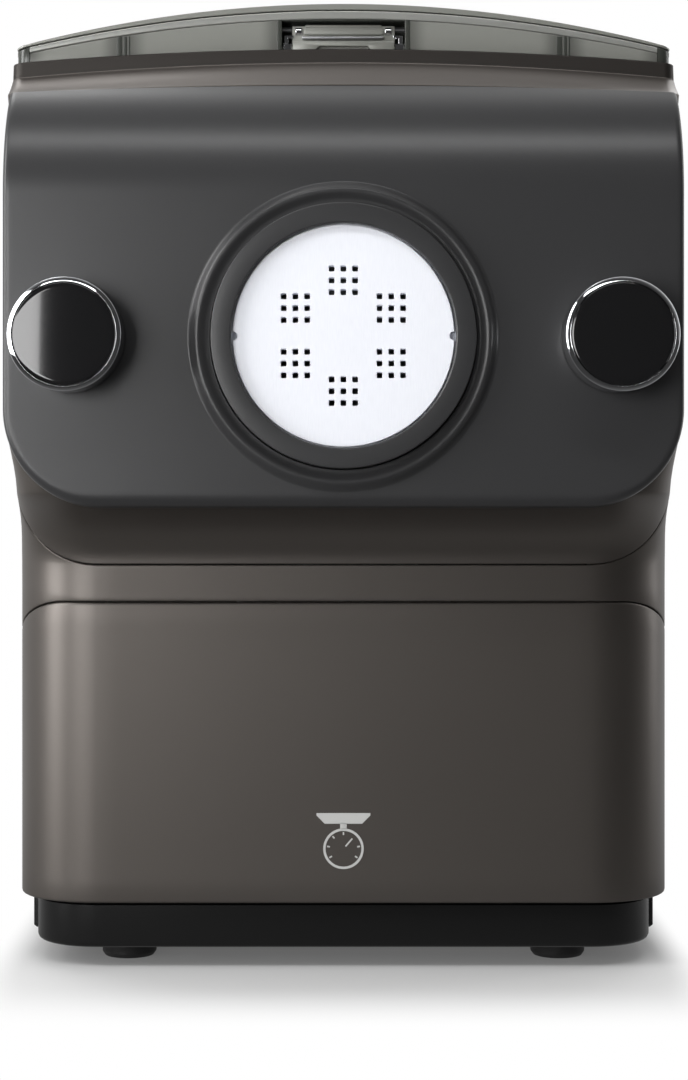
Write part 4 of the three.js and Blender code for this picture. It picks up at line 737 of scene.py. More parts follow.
def scaleMark():
    # a plain drawing of a kitchen scale: a pan over a round dial
    mark = {"middle": 38.5, "ring": 6.4, "line": 0.75, "half": 8.5, "top": 49.0, "slope": 2.6, "stem": 1.05,
            "proud": 0.12, "sink": 0.3, "tick": (1.3, 0.4), "hand": (1.0, 1.4), "pitch": math.pi / 4.4}
    y0, y1 = housing["front"] - mark["proud"], housing["front"] + mark["sink"]
    middle, ring, line, half, top = (mark[key] for key in ("middle", "ring", "line", "half", "top"))
    inner = ring - line
    shape = Shape().turned([(inner, y0), (ring, y0), (ring, y1), (inner, y1)], (0, middle), 64)
    low, slope = top - mark["slope"], half - mark["slope"]
    pan = [(-half, top), (-slope, low), (slope, low), (half, top), (half, top + line), (-half, top + line)]
    shape.pushed(pan, y0, y1)
    shape.block(-mark["stem"], mark["stem"], y0, y1, middle + ring - 0.2, low + 0.2, 0.05)
    for turn in range(-3, 4):
        angle = turn * mark["pitch"]
        r0, r1 = inner - mark["tick"][0], inner - mark["tick"][1]
        if turn == 1:
            r0, r1 = mark["hand"][0], inner - mark["hand"][1]
        wide = Vector((math.cos(angle), -math.sin(angle))) * line * 0.3
        along = Vector((math.sin(angle), math.cos(angle)))
        places = [along * r0 + wide, along * r1 + wide, along * r1 - wide, along * r0 - wide]
        shape.pushed([(p.x, middle + p.y) for p in places], y0, y1)
    shown(shape, "drawer_scale_mark", "button_grey", body="drawer", material=markGrey)


def roofHeight(x, y):
    # lowered under the nose of the lid
    z = housing["browTop"][1] - arched(x, housing["roofDrop"])
    start, end = housing["noseRange"]
    return min(z, housing["noseSeat"]) if start < y < end else z


def roofRows(edge):
    # rows across the roof from the places along its right edge
    return [[(x * s, y, roofHeight(x * s, y)) for s in roofShares] for x, y, _z in edge]


def upperHousing():
    gap = 0.25
    mouth = {"half": 76, "low": 150, "high": 272, "corner": 12.7, "depth": (-171, -106.5)}
    well = {"half": 79, "front": -111.5, "rear": 42, "heights": (267, 310)}
    studHole = {"radius": 3.3, "depth": (-171, -106)}
    window = {"y": (66, 124), "z": (190, 260), "corner": 7, "depth": (98, 110)}
    seat = {"front": -122.5, "rise": 0.15, "slope": 0.6}
    starts = [(c, solvedLine(c, 0.9, 3, lambda x: seamHeight(x) + gap)) for c in sideToSide]
    rows = [[skinPoint(c, lerp(low, max(low, 2), s)) for c, low in starts] for s in spread(0, 1, 16)]
    rows += [[skinPoint(c, lerp(max(low, 2), 3, s)) for c, low in starts] for s in spread(0, 1, 7)[1:]]
    for line in spread(3, 4, 5)[1:] + spread(4, 5, 9)[1:] + spread(6, 7, 15):
        rows.append([skinPoint(c, line) for c in sideToSide])
    shape = Shape().grid(rows)
    shape.grid(roofRows([skinPoint(c, 7) for c in sideColumns + cornerColumns[1:]]))
    piece = meshPiece(shape, "upper_housing_shell", "housing_taupe", (0, 0, 220))
    softened(walled(piece, housing["wall"]), housing["edge"])
    opening = roundedRing(-mouth["half"], mouth["half"], mouth["low"], mouth["high"], mouth["corner"], 0, 6)
    display = roundedRing(*window["y"], *window["z"], window["corner"], 0, 6)
    holes = Shape()
    for place in knobPlaces:
        holes.rod(studHole["radius"], *studHole["depth"], place, 32)
    carved(
        piece,
        Shape().pushed(opening, *mouth["depth"]),
        Shape().block(-well["half"], well["half"], well["front"], well["rear"], *well["heights"], 0.2),
        holes,
        Shape().pushed(display, *window["depth"], "x"),
    )
    # painted shadow: the upright band under the lid's front gets a darker taupe that stands in for the lid's
    # shade
    piece.data.materials.append(lidShadowTaupe)
    for face in piece.data.polygons:
        x, y, z = face.center / millimetre
        knee = housing["browKnee"][1] - arched(x, housing["kneeDrop"])
        if y < seat["front"] and z > knee + seat["rise"] and face.normal.z < seat["slope"]:
            face.material_index = len(piece.data.materials) - 1
    evened(piece)
    standsFor(piece, "upper_housing")


def rearCover():
    vents = {"count": 8, "half": 34.0, "height": 3.0, "pitch": 7.0, "first": 46.0, "rounding": 1.4}
    cord = {"radius": 6.3, "place": (-60, 42)}
    screw = {"radius": 3.4, "height": 1.0, "y": 170.1, "well": 4.2, "floor": 169.6}
    screwPlaces = [(side * 78, z) for z in (32, 150, 262) for side in (-1, 1)]
    rear, radius = housing["rear"], housing["rearCorner"]
    cover = {"gap": 0.4, "sidesEnd": 262, "rimStart": 266, "top": 286.6}
    split, cut = housing["split"] + cover["gap"], (160, 176)
    levels = spread(housing["bottom"], cover["sidesEnd"], 9) + spread(cover["rimStart"], cover["top"], 9)
    shares = spread(0, 1, 5)[:-1] + spread(1, 2, 10)[:-1] + spread(2, 3, 13)

    def edgePoint(share, half):
        # from the split, round the corner, to the middle of the rear
        if share < 1:
            return half, lerp(split, rear - radius, share)
        if share < 2:
            turn = (share - 1) * halfPi
            return half - radius + radius * math.cos(turn), rear - radius + radius * math.sin(turn)
        return (half - radius) * (3 - share), rear

    def ring(level):
        places = [edgePoint(share, tucked(level)) for share in shares]
        right = [(x, y, roofHeight(x, y) if level == levels[-1] else level) for x, y in places]
        return right + [(-x, y, z) for x, y, z in reversed(right[:-1])]

    rings = [ring(level) for level in levels]
    turnEnd = len(shares) - len(frontShares) + 1
    shape = Shape().grid(rings).grid(roofRows(rings[-1][:turnEnd]))
    piece = meshPiece(shape, "rear_cover_shell", "housing_taupe", (0, 140, 150))
    softened(walled(piece, housing["wall"]), housing["edge"])
    high = vents["first"] + vents["height"]
    slot = roundedRing(-vents["half"], vents["half"], vents["first"], high, vents["rounding"], 0, 4)
    slots = meshPiece(Shape().pushed(slot, *cut), "vent_cutter")
    step = (0.0, 0.0, vents["pitch"] * millimetre)
    grown(slots, inRow, Count=vents["count"], Step=step, Material=finishes["housing_taupe"])
    wells = Shape()
    for place in screwPlaces:
        wells.rod(screw["well"], screw["floor"], cut[1], place, 28)
    carved(piece, slots, Shape().rod(cord["radius"], *cut, cord["place"], 40), wells)
    evened(piece)
    standsFor(piece, "rear_cover")
    points = [(x, screw["y"], z) for x, z in screwPlaces]
    screws("rear_cover_screws", points, screw["radius"], screw["height"], -halfPi)


lowerHousing()
drawerFront()
scaleMark()
upperHousing()
rearCover()
print("housing, drawer front and rear cover made")


# Front panel: a plate with a rolled top, a bore for the disc and two for the knobs
panel = {
    "face": -155.5, "thickness": 5.5, "half": 103.4, "bottom": 146.0, "corner": 30.0, "top": 277.5,
    "drop": 2.8, "bottomEdge": 4.2, "sideEdge": 1.7, "rows": 26, "rim": [-1, -0.9975, -0.993, -0.987],
    "discBore": 46.6, "knobBore": 7.4, "cut": (-175, -140),
}


def panelWidth(z):
    rise = max(0, panel["bottom"] + panel["corner"] - z)
    return panel["half"] - panel["corner"] + math.sqrt(max(0, panel["corner"] ** 2 - rise ** 2))


def panelSetBack(x, z):
    # how far the face falls back at the rounded rim
    p = panel
    rise = p["bottom"] + p["corner"] - z
    out = abs(x) - (p["half"] - p["corner"])
    if rise > 0 and out > 0:
        inset = p["corner"] - math.hypot(rise, out)
        edge = lerp(p["sideEdge"], p["bottomEdge"], (math.atan2(rise, out) / halfPi) ** 1.5)
    elif z - p["bottom"] < p["half"] - abs(x):
        inset, edge = z - p["bottom"], p["bottomEdge"]
    else:
        inset, edge = p["half"] - abs(x), p["sideEdge"]
    inset = max(0, min(inset, edge))
    return edge - math.sqrt(edge ** 2 - (edge - inset) ** 2)


def swelling(share):
    # a soft rise from 0 to 1
    return 0.5 - 0.5 * math.cos(math.pi * share)


def frontPanel():
    p = panel
    places = [math.sin(halfPi * math.sin(halfPi * s)) for s in spread(-1, 1, 61)]
    places = p["rim"] + [s for s in places if abs(s) < 0.98] + [-s for s in reversed(p["rim"])]
    front, back = [], []
    turns = [halfPi * (i / p["rows"]) for i in range(p["rows"] + 1)]
    heights = [p["bottom"] + p["corner"] * (1 - math.cos(turn)) for turn in turns]
    for z in heights + spread(p["bottom"] + p["corner"], housing["rollHeight"], 9)[1:]:
        width = panelWidth(z)
        front.append([(s * width, p["face"] + panelSetBack(s * width, z), z) for s in places])
        back.append([(s * width, p["face"] + p["thickness"], z) for s in places])
    for share in spread(0, 1, 17)[1:]:
        frontRow, backRow = [], []
        for s in places:
            x = s * p["half"]
            roll = housing["panelRoll"]
            turn = share * math.asin((p["top"] - p["drop"] * s ** 2 - housing["rollHeight"]) / roll)
            for row, radius in ((frontRow, roll - panelSetBack(x, 200)), (backRow, roll - p["thickness"])):
                y = housing["rollY"] - radius * math.cos(turn)
                row.append((x, y, housing["rollHeight"] + radius * math.sin(turn)))
        front.append(frontRow)
        back.append(backRow)
    piece = meshPiece(Shape().slab(front, back), "front_panel_plate", "panel_charcoal")
    bores = Shape().rod(p["discBore"], *p["cut"], (0, shaftHeight), 128)
    for place in knobPlaces:
        bores.rod(p["knobBore"], *p["cut"], place, 128)
    carved(piece, bores)
    evened(piece)
    standsFor(discRidge(), None, "panel")
    standsFor(piece, "front_panel")


def discRidge():
    # the raised ridge round the disc: a hollow inside it, a soft fall to the panel's face outside
    ridge = {"hollow": -156.7, "crown": -157.9, "inner": 40.3, "rise": (41.1, 44.1), "fall": (44.3, 47.25),
             "outer": 47.3, "seat": 46.4, "back": -150.2}
    face, hollow, crown = panel["face"], ridge["hollow"], ridge["crown"]
    outline = [(ridge["inner"], hollow + 0.6), (ridge["inner"] + 0.2, hollow)]
    outline += [(lerp(*ridge["rise"], s), lerp(hollow, crown, swelling(s))) for s in spread(0, 1, 9)]
    foot = face - 0.02
    outline += [(lerp(*ridge["fall"], s), lerp(crown, foot, swelling(s))) for s in spread(0, 1, 13)[1:]]
    outline += [(ridge["outer"], foot), (ridge["outer"], face + 0.6), (ridge["seat"], face + 0.6)]
    outline += [(ridge["seat"], ridge["back"]), (ridge["inner"], ridge["back"])]
    shape = Shape().turned(outline, (0, shaftHeight), 180)
    return meshPiece(shape, "panel_ogee", "panel_charcoal", smooth=50)


def discRing():
    ring = [(33.9, -160.6, 0.25), (33.9, -158.9, 0), (38.4, -158.9, 0), (38.4, -147.6, 0), (43.5, -147.6, 0)]
    ring += [(43.5, -149.6, 0.3), (40.0, -149.6, 0), (40.0, -161.0, 0.35), (34.3, -161.0, 0.2)]
    shown(Shape().turned(eased(ring), (0, shaftHeight), 180), "disc_ring_cap", "panel_charcoal", "disc_ring")


def shapingDisc():
    disc = {"face": -158.7, "groups": 6, "rows": 3, "groupRadius": 16.7, "pitch": 3.55, "hole": 1.7,
            "mouth": 1.98, "notch": 1.3, "notchPlace": 33.2, "notchFloor": -155.6}
    face = disc["face"]
    profile = [(0, face, 0), (33.5, face, 0.3), (33.5, -156.5, 0), (36.5, -156.5, 0.2)]
    profile += [(36.5, -154.3, 0.2), (0, -154.3, 0)]
    plate = Shape().turned(eased(profile), (0, shaftHeight), 160)
    piece = meshPiece(plate, "shaping_disc_plate", "disc_metal")
    rings = []
    for y, wide in ((face - 1, 1.0), (face, 1.0), (face + 0.16, 0.5), (face + 0.45, 0), (-153, 0)):
        half = lerp(disc["hole"], disc["mouth"], wide) / 2
        square = roundedRing(-half, half, -half, half, half * 0.45)
        rings.append([(x, y, shaftHeight + z) for x, z, _ in square])
    holes = meshPiece(Shape().loft(rings), "hole_cutter")
    sizes = {"Group radius": disc["groupRadius"] * millimetre, "Group size": 2 * disc["pitch"] * millimetre}
    sizes.update({"Groups": disc["groups"], "Rows": disc["rows"]})
    grown(holes, inClusters, Material=finishes["disc_metal"], **sizes)
    notches = Shape()
    for side in (-1, 1):
        notches.rod(disc["notch"], -160, disc["notchFloor"], (side * disc["notchPlace"], shaftHeight), 24)
    evened(carved(piece, holes, notches))
    standsFor(piece, "shaping_disc")


def knobs():
    knob = {"face": -171.5, "back": -155.9, "cap": 15.4, "crown": 0.3, "ringInner": 15.55, "ringOuter": 17.0,
            "ringFace": -171.3, "ringRim": -170.35, "boss": 7, "bossEnd": -150.3, "bore": 3.4,
            "boreEnd": -162.6}
    face, back, radius = knob["face"], knob["back"], knob["cap"]
    cap = [(0, face)]
    cap += [((radius - 0.4) * s, face + knob["crown"] * s ** 2) for s in spread(0.1, 1, 12)]
    cap += [(radius - 0.15, face + 0.42), (radius - 0.03, face + 0.6), (radius, face + 2), (radius, back)]
    cap += [(knob["boss"], back), (knob["boss"], knob["bossEnd"])]
    cap += [(knob["bore"], knob["bossEnd"]), (knob["bore"], knob["boreEnd"]), (0, knob["boreEnd"])]
    ring = [(knob["ringInner"], knob["ringFace"], 0.06), (knob["ringInner"], back, 0.1)]
    ring = eased(ring + [(knob["ringOuter"], back, 0.25), (knob["ringOuter"], knob["ringRim"], 0.6)])
    for name, place in zip(("left", "right"), knobPlaces):
        shown(Shape().turned(cap, place, 128), "knob_cap_dome_" + name, "gloss_black", "knob_cap_" + name)
        shown(Shape().turned(ring, place, 128), "knob_bezel_" + name, "chrome", "knob_ring_" + name)


frontPanel()
discRing()
shapingDisc()
knobs()
print("front panel, disc and knobs made")


# Lid: an arched cover over a light rim and a smoky window, hinged at the rear
lid = {
    "half": 104.3, "front": -121.0, "corner": 3.6, "top": 306.5, "drop": 13.8, "base": 291.5, "baseDrop": 4.4,
    "hinge": (56.0, 297.5), "nose": 9.0, "endWall": 100.0, "sideRear": 50.0, "bay": 21.2,
    "ears": 32.0, "earHalf": 4.4, "earRoom": (50.9, 76), "earHeights": (270, 320),
    # how far down the cover and the rim under it take up: a length and a share of the lid's height
    "cover": (0.25, 0.125), "rim": (1.3, 0.085),
}


def lidTop(x):
    return lid["top"] - lid["drop"] * (x / lid["half"]) ** 2


def lidBase(x, above=0):
    return lid["base"] - lid["baseDrop"] * (x / lid["half"]) ** 2 + above


def coverUnder(x, above=0):
    length, share = lid["cover"]
    return lidTop(x) - length - share * (lidTop(x) - lidBase(x)) + above


def rimUnder(x, above=0):
    length, share = lid["rim"]
    return coverUnder(x) - length - share * (lidTop(x) - lidBase(x)) + above


def lidPath():
    # stations along the right side and round its front corner: (x, y, out x, out y)
    half, front, corner = lid["half"], lid["front"], lid["corner"]
    right = [(half, y, 1.0, 0.0) for y in spread(lid["sideRear"], front + corner, 14)]
    for i in range(1, 9):
        turn = halfPi * i / 8
        out = (math.cos(turn), -math.sin(turn))
        right.append((half - corner + corner * out[0], front + corner + corner * out[1], *out))
    return right + [(half - corner - 0.05, front, 0.0, -1.0)]


def band(stations, inset, back, low, high, edge, room=(0, 0)):
    # a closed bar along the stations, from low to high with some room at each
    rings = []
    for x, y, outX, outY in stations:
        z0, z1 = low(x, room[0]), high(x, -room[1])
        section = eased([(inset, z0, edge), (inset, z1, edge), (back, z1, 0), (back, z0, 0)], 3)
        rings.append([(x - outX * depth, y - outY * depth, z) for depth, z in section])
    return Shape().loft(rings)


def frontStations(x0, x1, count):
    return [(x, lid["front"], 0.0, -1.0) for x in spread(x0, x1, count)]


def onLid(shape, name, material=None, slot="smoke_plastic"):
    shown(shape, name, slot, body="lid", material=material)


def earRoom():
    shapes = []
    for side in (-1, 1):
        x, half = side * lid["ears"], lid["earHalf"]
        shapes.append(Shape().block(x - half, x + half, *lid["earRoom"], *lid["earHeights"]))
    return shapes


def lidCover():
    cover = {"edge": 0.26, "noseLevels": [58, 59.6, 61, 62]}
    slots = {"count": 7, "pitch": 3.1, "half": 0.75, "ends": (-110.0, -96.0), "corner": 0.7,
             "cut": (300, 310)}
    half, front, corner = lid["half"], lid["front"], lid["corner"]
    hingeY, hingeZ = lid["hinge"]
    levels = [front + corner * (1 - math.cos(halfPi * i / 8)) for i in range(9)]
    levels += spread(front + corner, hingeY, 16)[1:] + cover["noseLevels"]
    upper, lower = [], []
    for y in levels:
        rise = max(0, front + corner - y)
        width = half - corner + math.sqrt(max(0, corner ** 2 - rise ** 2))
        nose = hingeZ + math.sqrt(lid["nose"] ** 2 - max(0, y - hingeY) ** 2)
        upper.append([(x, y, min(lidTop(x), nose)) for x in spread(-width, width, 57)])
        lower.append([(x, y, z - (lidTop(x) - coverUnder(x)) + lid["cover"][0]) for x, y, z in upper[-1]])
    piece = meshPiece(Shape().slab(upper, lower), "lid_cover_plate", "lid_grey")
    softened(piece, cover["edge"], 3, 50)
    first = -slots["pitch"] * (slots["count"] - 1) / 2
    slot = roundedRing(first - slots["half"], first + slots["half"], *slots["ends"], slots["corner"], 0, 4)
    cutter = meshPiece(Shape().pushed(slot, *slots["cut"], "z"), "slot_cutter")
    step = (slots["pitch"] * millimetre, 0.0, 0.0)
    grown(cutter, inRow, Count=slots["count"], Step=step, Material=finishes["lid_grey"])
    evened(carved(piece, cutter, *earRoom()))
    standsFor(piece, "lid_cover")


def lidFrame():
    # how far each band's face and back lie behind the lid's own outline
    depths = {"wall": (0.25, 2.6), "sideRim": (0.12, 0.9), "frontRim": (0.2, 3.0), "window": (0.45, 2.3)}
    ribs = {"middle": -70.1, "bars": ((-2.2, -0.45), (0.0, 1.1), (1.45, 2.1)), "depth": (0.36, 4.0),
            "edge": 0.15}
    end, front, gap = lid["endWall"] - 0.1, lid["front"], 0.12
    right = lidPath()
    mirrored = [(-x, y, -outX, outY) for x, y, outX, outY in right]
    # end walls, full height, along the sides and round the front corners
    for name, stations in (("right", right), ("left", mirrored)):
        wide = stations + [(math.copysign(lid["endWall"], stations[0][0]), front, 0.0, -1.0)]
        wall = band(wide, *depths["wall"], lidBase, coverUnder, 0.35, (0.05, 0.02))
        onLid(wall, "lid_end_wall_" + name, smokeDark)
        sides = [s for s in stations if s[1] > front + lid["corner"] * 0.5]
        rim = band(sides, *depths["sideRim"], rimUnder, coverUnder, 0.25, (0, 0.05))
        onLid(rim, "lid_side_rim_" + name, rimGrey, "lid_grey")
    rim = band(frontStations(-end, end, 49), *depths["frontRim"], rimUnder, coverUnder, 0.35)
    onLid(rim, "lid_front_rim", rimGrey, "lid_grey")
    bay = lid["bay"] - 0.05
    for name, x0, x1 in (("left", -end, -bay), ("right", bay, end)):
        window = band(frontStations(x0, x1, 25), *depths["window"], lidBase, rimUnder, 0.2, (gap, gap))
        onLid(window, "lid_window_" + name, smokeWithPaintedShade)
    # upright ribs in the window: three bars in each
    middle, (face, back) = ribs["middle"], ribs["depth"]
    low, high = lidBase(middle, 2 * gap), rimUnder(middle, -2 * gap)
    bars = Shape()
    for x0, x1 in ribs["bars"]:
        bars.block(middle + x0, middle + x1, front + face, front + back, low, high, ribs["edge"])
    piece = meshPiece(bars, "lid_window_ribs", smokeDark)
    grown(piece, inRow, Count=2, Step=(-2 * middle * millimetre, 0.0, 0.0), Material=smokeDark)
    standsFor(piece, None, "lid")
    standsFor(joined("lid_frame_body", *lidFloor(), noseOfLid()), "lid_frame")


def lidFloor():
    # floor of the lid, and the lip that drops into the chamber
    floor = {"half": 100.5, "front": -118.6, "rear": 52.0, "faces": (0.02, 2.0)}
    lip = {"half": 71.5, "front": -106.0, "rear": 34.0, "low": 268.0, "high": 291.9, "corner": 6.0,
           "wall": 2.4, "edge": 0.6}
    xs, ys = spread(-floor["half"], floor["half"], 31), spread(floor["front"], floor["rear"], 12)
    under, over = ([[(x, y, lidBase(x, above)) for x in xs] for y in ys] for above in floor["faces"])
    plate = meshPiece(Shape().slab(over, under), "lid_floor", "smoke_plastic")

    def lipRing(z, grow):
        half, corner = lip["half"] + grow, lip["corner"] + grow
        return roundedRing(-half, half, lip["front"] - grow, lip["rear"] + grow, corner, z, 6)

    wall, low, high, edge = (lip[key] for key in ("wall", "low", "high", "edge"))
    carved(plate, Shape().loft([lipRing(z, -wall) for z in (260, 300)]))
    section = [(low, -edge), (low + edge, 0), (high, 0)]
    section += [(high, -wall), (low + edge, -wall), (low, edge - wall)]
    outline = [lipRing(z, grow) for z, grow in section]
    stations = [[ring[i] for ring in outline] for i in range(len(outline[0]))]
    walls = Shape().grid([ring + ring[:1] for ring in stations + stations[:1]])
    return plate, meshPiece(walls, "lid_lip", "smoke_plastic")


def noseOfLid():
    nose = {"half": 100.4, "gap": 0.05, "inset": 0.2, "back": 50.0}
    hingeY, hingeZ = lid["hinge"]
    outer, inner = [], []
    for share in spread(0, 1, 12):
        xs = spread(-nose["half"], nose["half"], 41)
        row = [(x, lerp(lidBase(x, nose["gap"]), coverUnder(x, -nose["gap"]), share)) for x in xs]
        reaches = [math.sqrt(max(0, lid["nose"] ** 2 - (z - hingeZ) ** 2)) for _x, z in row]
        outer.append([(x, hingeY + reach - nose["inset"], z) for (x, z), reach in zip(row, reaches)])
        inner.append([(x, nose["back"], z) for x, z in row])
    return carved(meshPiece(Shape().slab(outer, inner), "lid_nose", "lid_grey"), *earRoom())


def latchBay():
    bay = {"half": 19.6, "wall": 1.6, "depth": 10.6, "ceiling": 301.15, "roof": 303.3}
    clip = {
        "radius": 1.35, "ends": (13.2, 15.4), "place": (-117.9, 298.2), "edge": 0.3,
        # inner and outer x, then y and z from and to, and the softened edge
        "blocks": [
            (16.5, 19.3, -119.4, -116.6, 291.75, 294.2, 0.25),
            (17.6, 18.9, -119.0, -117.4, 294.0, 296.9, 0.2),
            (15.9, 18.2, -119.2, -117.2, 295.9, 297.0, 0.25),
        ],
    }
    front, rear = lid["front"] + 0.3, lid["front"] + bay["depth"]
    outer, low, roof = bay["half"] + bay["wall"], lid["base"] - 0.05, bay["roof"]
    shape = Shape().block(-outer, outer, rear, rear + bay["wall"], low, roof + 0.1, 0.2)
    shape.block(-outer, outer, front + 0.3, rear + 0.2, bay["ceiling"], roof, 0.2)
    shape.pair(bay["half"], outer, front, rear + 0.2, low, roof, 0.2)
    onLid(shape, "latch_bay", smokeDark)
    clips = Shape()
    for side in (-1, 1):
        for x0, x1, *rest in clip["blocks"]:
            clips.block(*sorted((side * x0, side * x1)), *rest)
        ends = [side * x for x in clip["ends"]]
        clips.rod(clip["radius"], *ends, clip["place"], 28, "x", clip["edge"])
    onLid(clips, "latch_spring_clips", slot="chrome")


# half width, then y and z from and to, and the softened edge
latchBars = [
    (12.6, -119.3, -117.0, 296.95, 298.75, 0.35),
    (12.3, -118.6, -116.4, 299.35, 300.35, 0.3),
    (16.4, -118.4, -116.6, 294.2, 300.0, 0.25),
]


def lidLatch():
    latch = {"front": -120.1, "back": -118.2, "half": 16.2, "low": 291.85, "high": 294.75, "notch": 8.2,
             "rise": 1.45}
    rod = {"radius": 0.62, "ends": (-13.2, 12.8), "place": (-119.3, 295.95), "edge": 0.2}
    half, low, high, notch, rise = (latch[key] for key in ("half", "low", "high", "notch", "rise"))
    outline = [(-half, low, 0.2), (-notch - 0.9, low, 0.3), (-notch + 0.5, low + rise, 0.5)]
    outline += [(notch - 0.5, low + rise, 0.5), (notch + 0.9, low, 0.3), (half, low, 0.2)]
    outline = eased(outline + [(half, high, 0.4), (-half, high, 0.4)])
    plate = meshPiece(Shape().pushed(outline, latch["front"], latch["back"]), "latch_plate", "lid_grey")
    softened(plate, 0.18, 2)
    bars = Shape()
    for half, *rest in latchBars:
        bars.block(-half, half, *rest)
    piece = joined("lid_latch_body", plate, meshPiece(bars, "latch_bars", "lid_grey"))
    standsFor(piece, "lid_latch")
    rod = Shape().rod(rod["radius"], *rod["ends"], rod["place"], 24, "x", rod["edge"])
    shown(rod, "latch_rod", "steel", body="latch")


def topCover():
    # the fixed cover behind the lid, with its two hinge ears
    cover = {"front": 65.7, "rear": 171.5, "plan": 20.0, "roll": 14.0, "edge": 0.7}
    ear = {"half": 3.5, "bore": 1.8, "radius": 3.8, "edge": 0.4}
    arm = {"low": 3.6, "high": 1.9, "start": 3.2, "overlap": 1.5}
    turnStart, rollStart = cover["rear"] - cover["plan"], cover["rear"] - cover["roll"]
    levels = spread(cover["front"], turnStart, 9)
    levels += [cover["rear"] - cover["plan"] * (1 - math.sin(halfPi * i / 14)) for i in range(1, 15)]
    upper, lower = [], []
    for y in levels:
        rise = max(0, y - turnStart)
        width = lid["half"] - cover["plan"] + math.sqrt(max(0, cover["plan"] ** 2 - rise ** 2))
        fall = cover["roll"] - math.sqrt(max(0, cover["roll"] ** 2 - max(0, y - rollStart) ** 2))
        xs = spread(-width, width, 49)
        upper.append([(x, y, max(min(lidTop(x), lid["top"] - fall), lidBase(x) + 0.6)) for x in xs])
        lower.append([(x, y, lidBase(x)) for x in xs])
    body = softened(meshPiece(Shape().slab(upper, lower), "top_cover_body", "lid_grey"), cover["edge"], 3, 50)
    hingeY, hingeZ = lid["hinge"]
    ears = Shape()
    for side in (-1, 1):
        x0, x1 = side * lid["ears"] - ear["half"], side * lid["ears"] + ear["half"]
        bore, radius, edge = ear["bore"], ear["radius"], ear["edge"]
        ring = eased([(bore, x0, 0), (radius, x0, edge), (radius, x1, edge), (bore, x1, 0)])
        ears.turned(ring, lid["hinge"], 36, "x")
        front, rear = hingeY + arm["start"], cover["front"] + arm["overlap"]
        ears.block(x0, x1, front, rear, hingeZ - arm["low"], hingeZ + arm["high"])
    piece = joined("top_cover_shell", body, meshPiece(ears, "top_cover_ears", "lid_grey"))
    standsFor(evened(piece), "top_cover")


lidCover()
lidFrame()
latchBay()
lidLatch()
topCover()
print("lid, latch and top cover made")


# Base tray and feet
def baseTray():
    base = {"half": 99.5, "front": -124.0, "rear": 168.5, "corner": 21.0, "low": 6.5, "top": 20.5,
            "edge": 1.6}
    skirt = {"x": (97.0, 101.5), "y": (-100.5, 146.5), "z": (8.5, 20.5), "edge": 0.8}
    screw = {"radius": 3.6, "height": 1.1, "z": 9.1, "well": 4.6, "floor": 9.2}
    screwPlaces = [(-52, -101), (52, -101), (-52, 141), (52, 141), (-84, 20), (84, 20)]
    rings = []
    for i in range(6):
        turn = halfPi * i / 5
        rings.append((base["edge"] * (1 - math.sin(turn)), base["low"] + base["edge"] * (1 - math.cos(turn))))
    loops = []
    for inset, z in rings + [(0, base["top"] - 0.5), (0.5, base["top"])]:
        half, front, rear = base["half"] - inset, base["front"] + inset, base["rear"] - inset
        loops.append(roundedRing(-half, half, front, rear, base["corner"] - inset, z, 10))
    tray = meshPiece(Shape().loft(loops), "tray_loft", "base_black")
    wells = Shape()
    for place in screwPlaces:
        wells.rod(screw["well"], 0, screw["floor"], place, 28, "z")
    carved(tray, wells)
    skirts = Shape().pair(*skirt["x"], *skirt["y"], *skirt["z"], skirt["edge"])
    skirts = meshPiece(skirts, "tray_skirts", "base_black")
    standsFor(joined("base_tray_body", tray, skirts), "base_tray")
    points = [(x, y, screw["z"]) for x, y in screwPlaces]
    screws("base_tray_screws", points, screw["radius"], screw["height"], math.pi)


def feet():
    profile = [(0, 0.7, 0), (4.6, 0.7, 0.25), (5.2, 0.0, 0.3), (7.9, 0.0, 0.5), (8.8, 1.3, 0.5)]
    profile = eased(profile + [(8.8, 6.2, 0), (0, 6.2, 0)])
    for end, y in (("front", -101), ("rear", 141.5)):
        for side, x in (("left", -70), ("right", 70)):
            name = end + "_" + side
            shown(Shape().turned(profile, (x, y), 56, "z"), "foot_pad_" + name, "rubber", "foot_" + name)


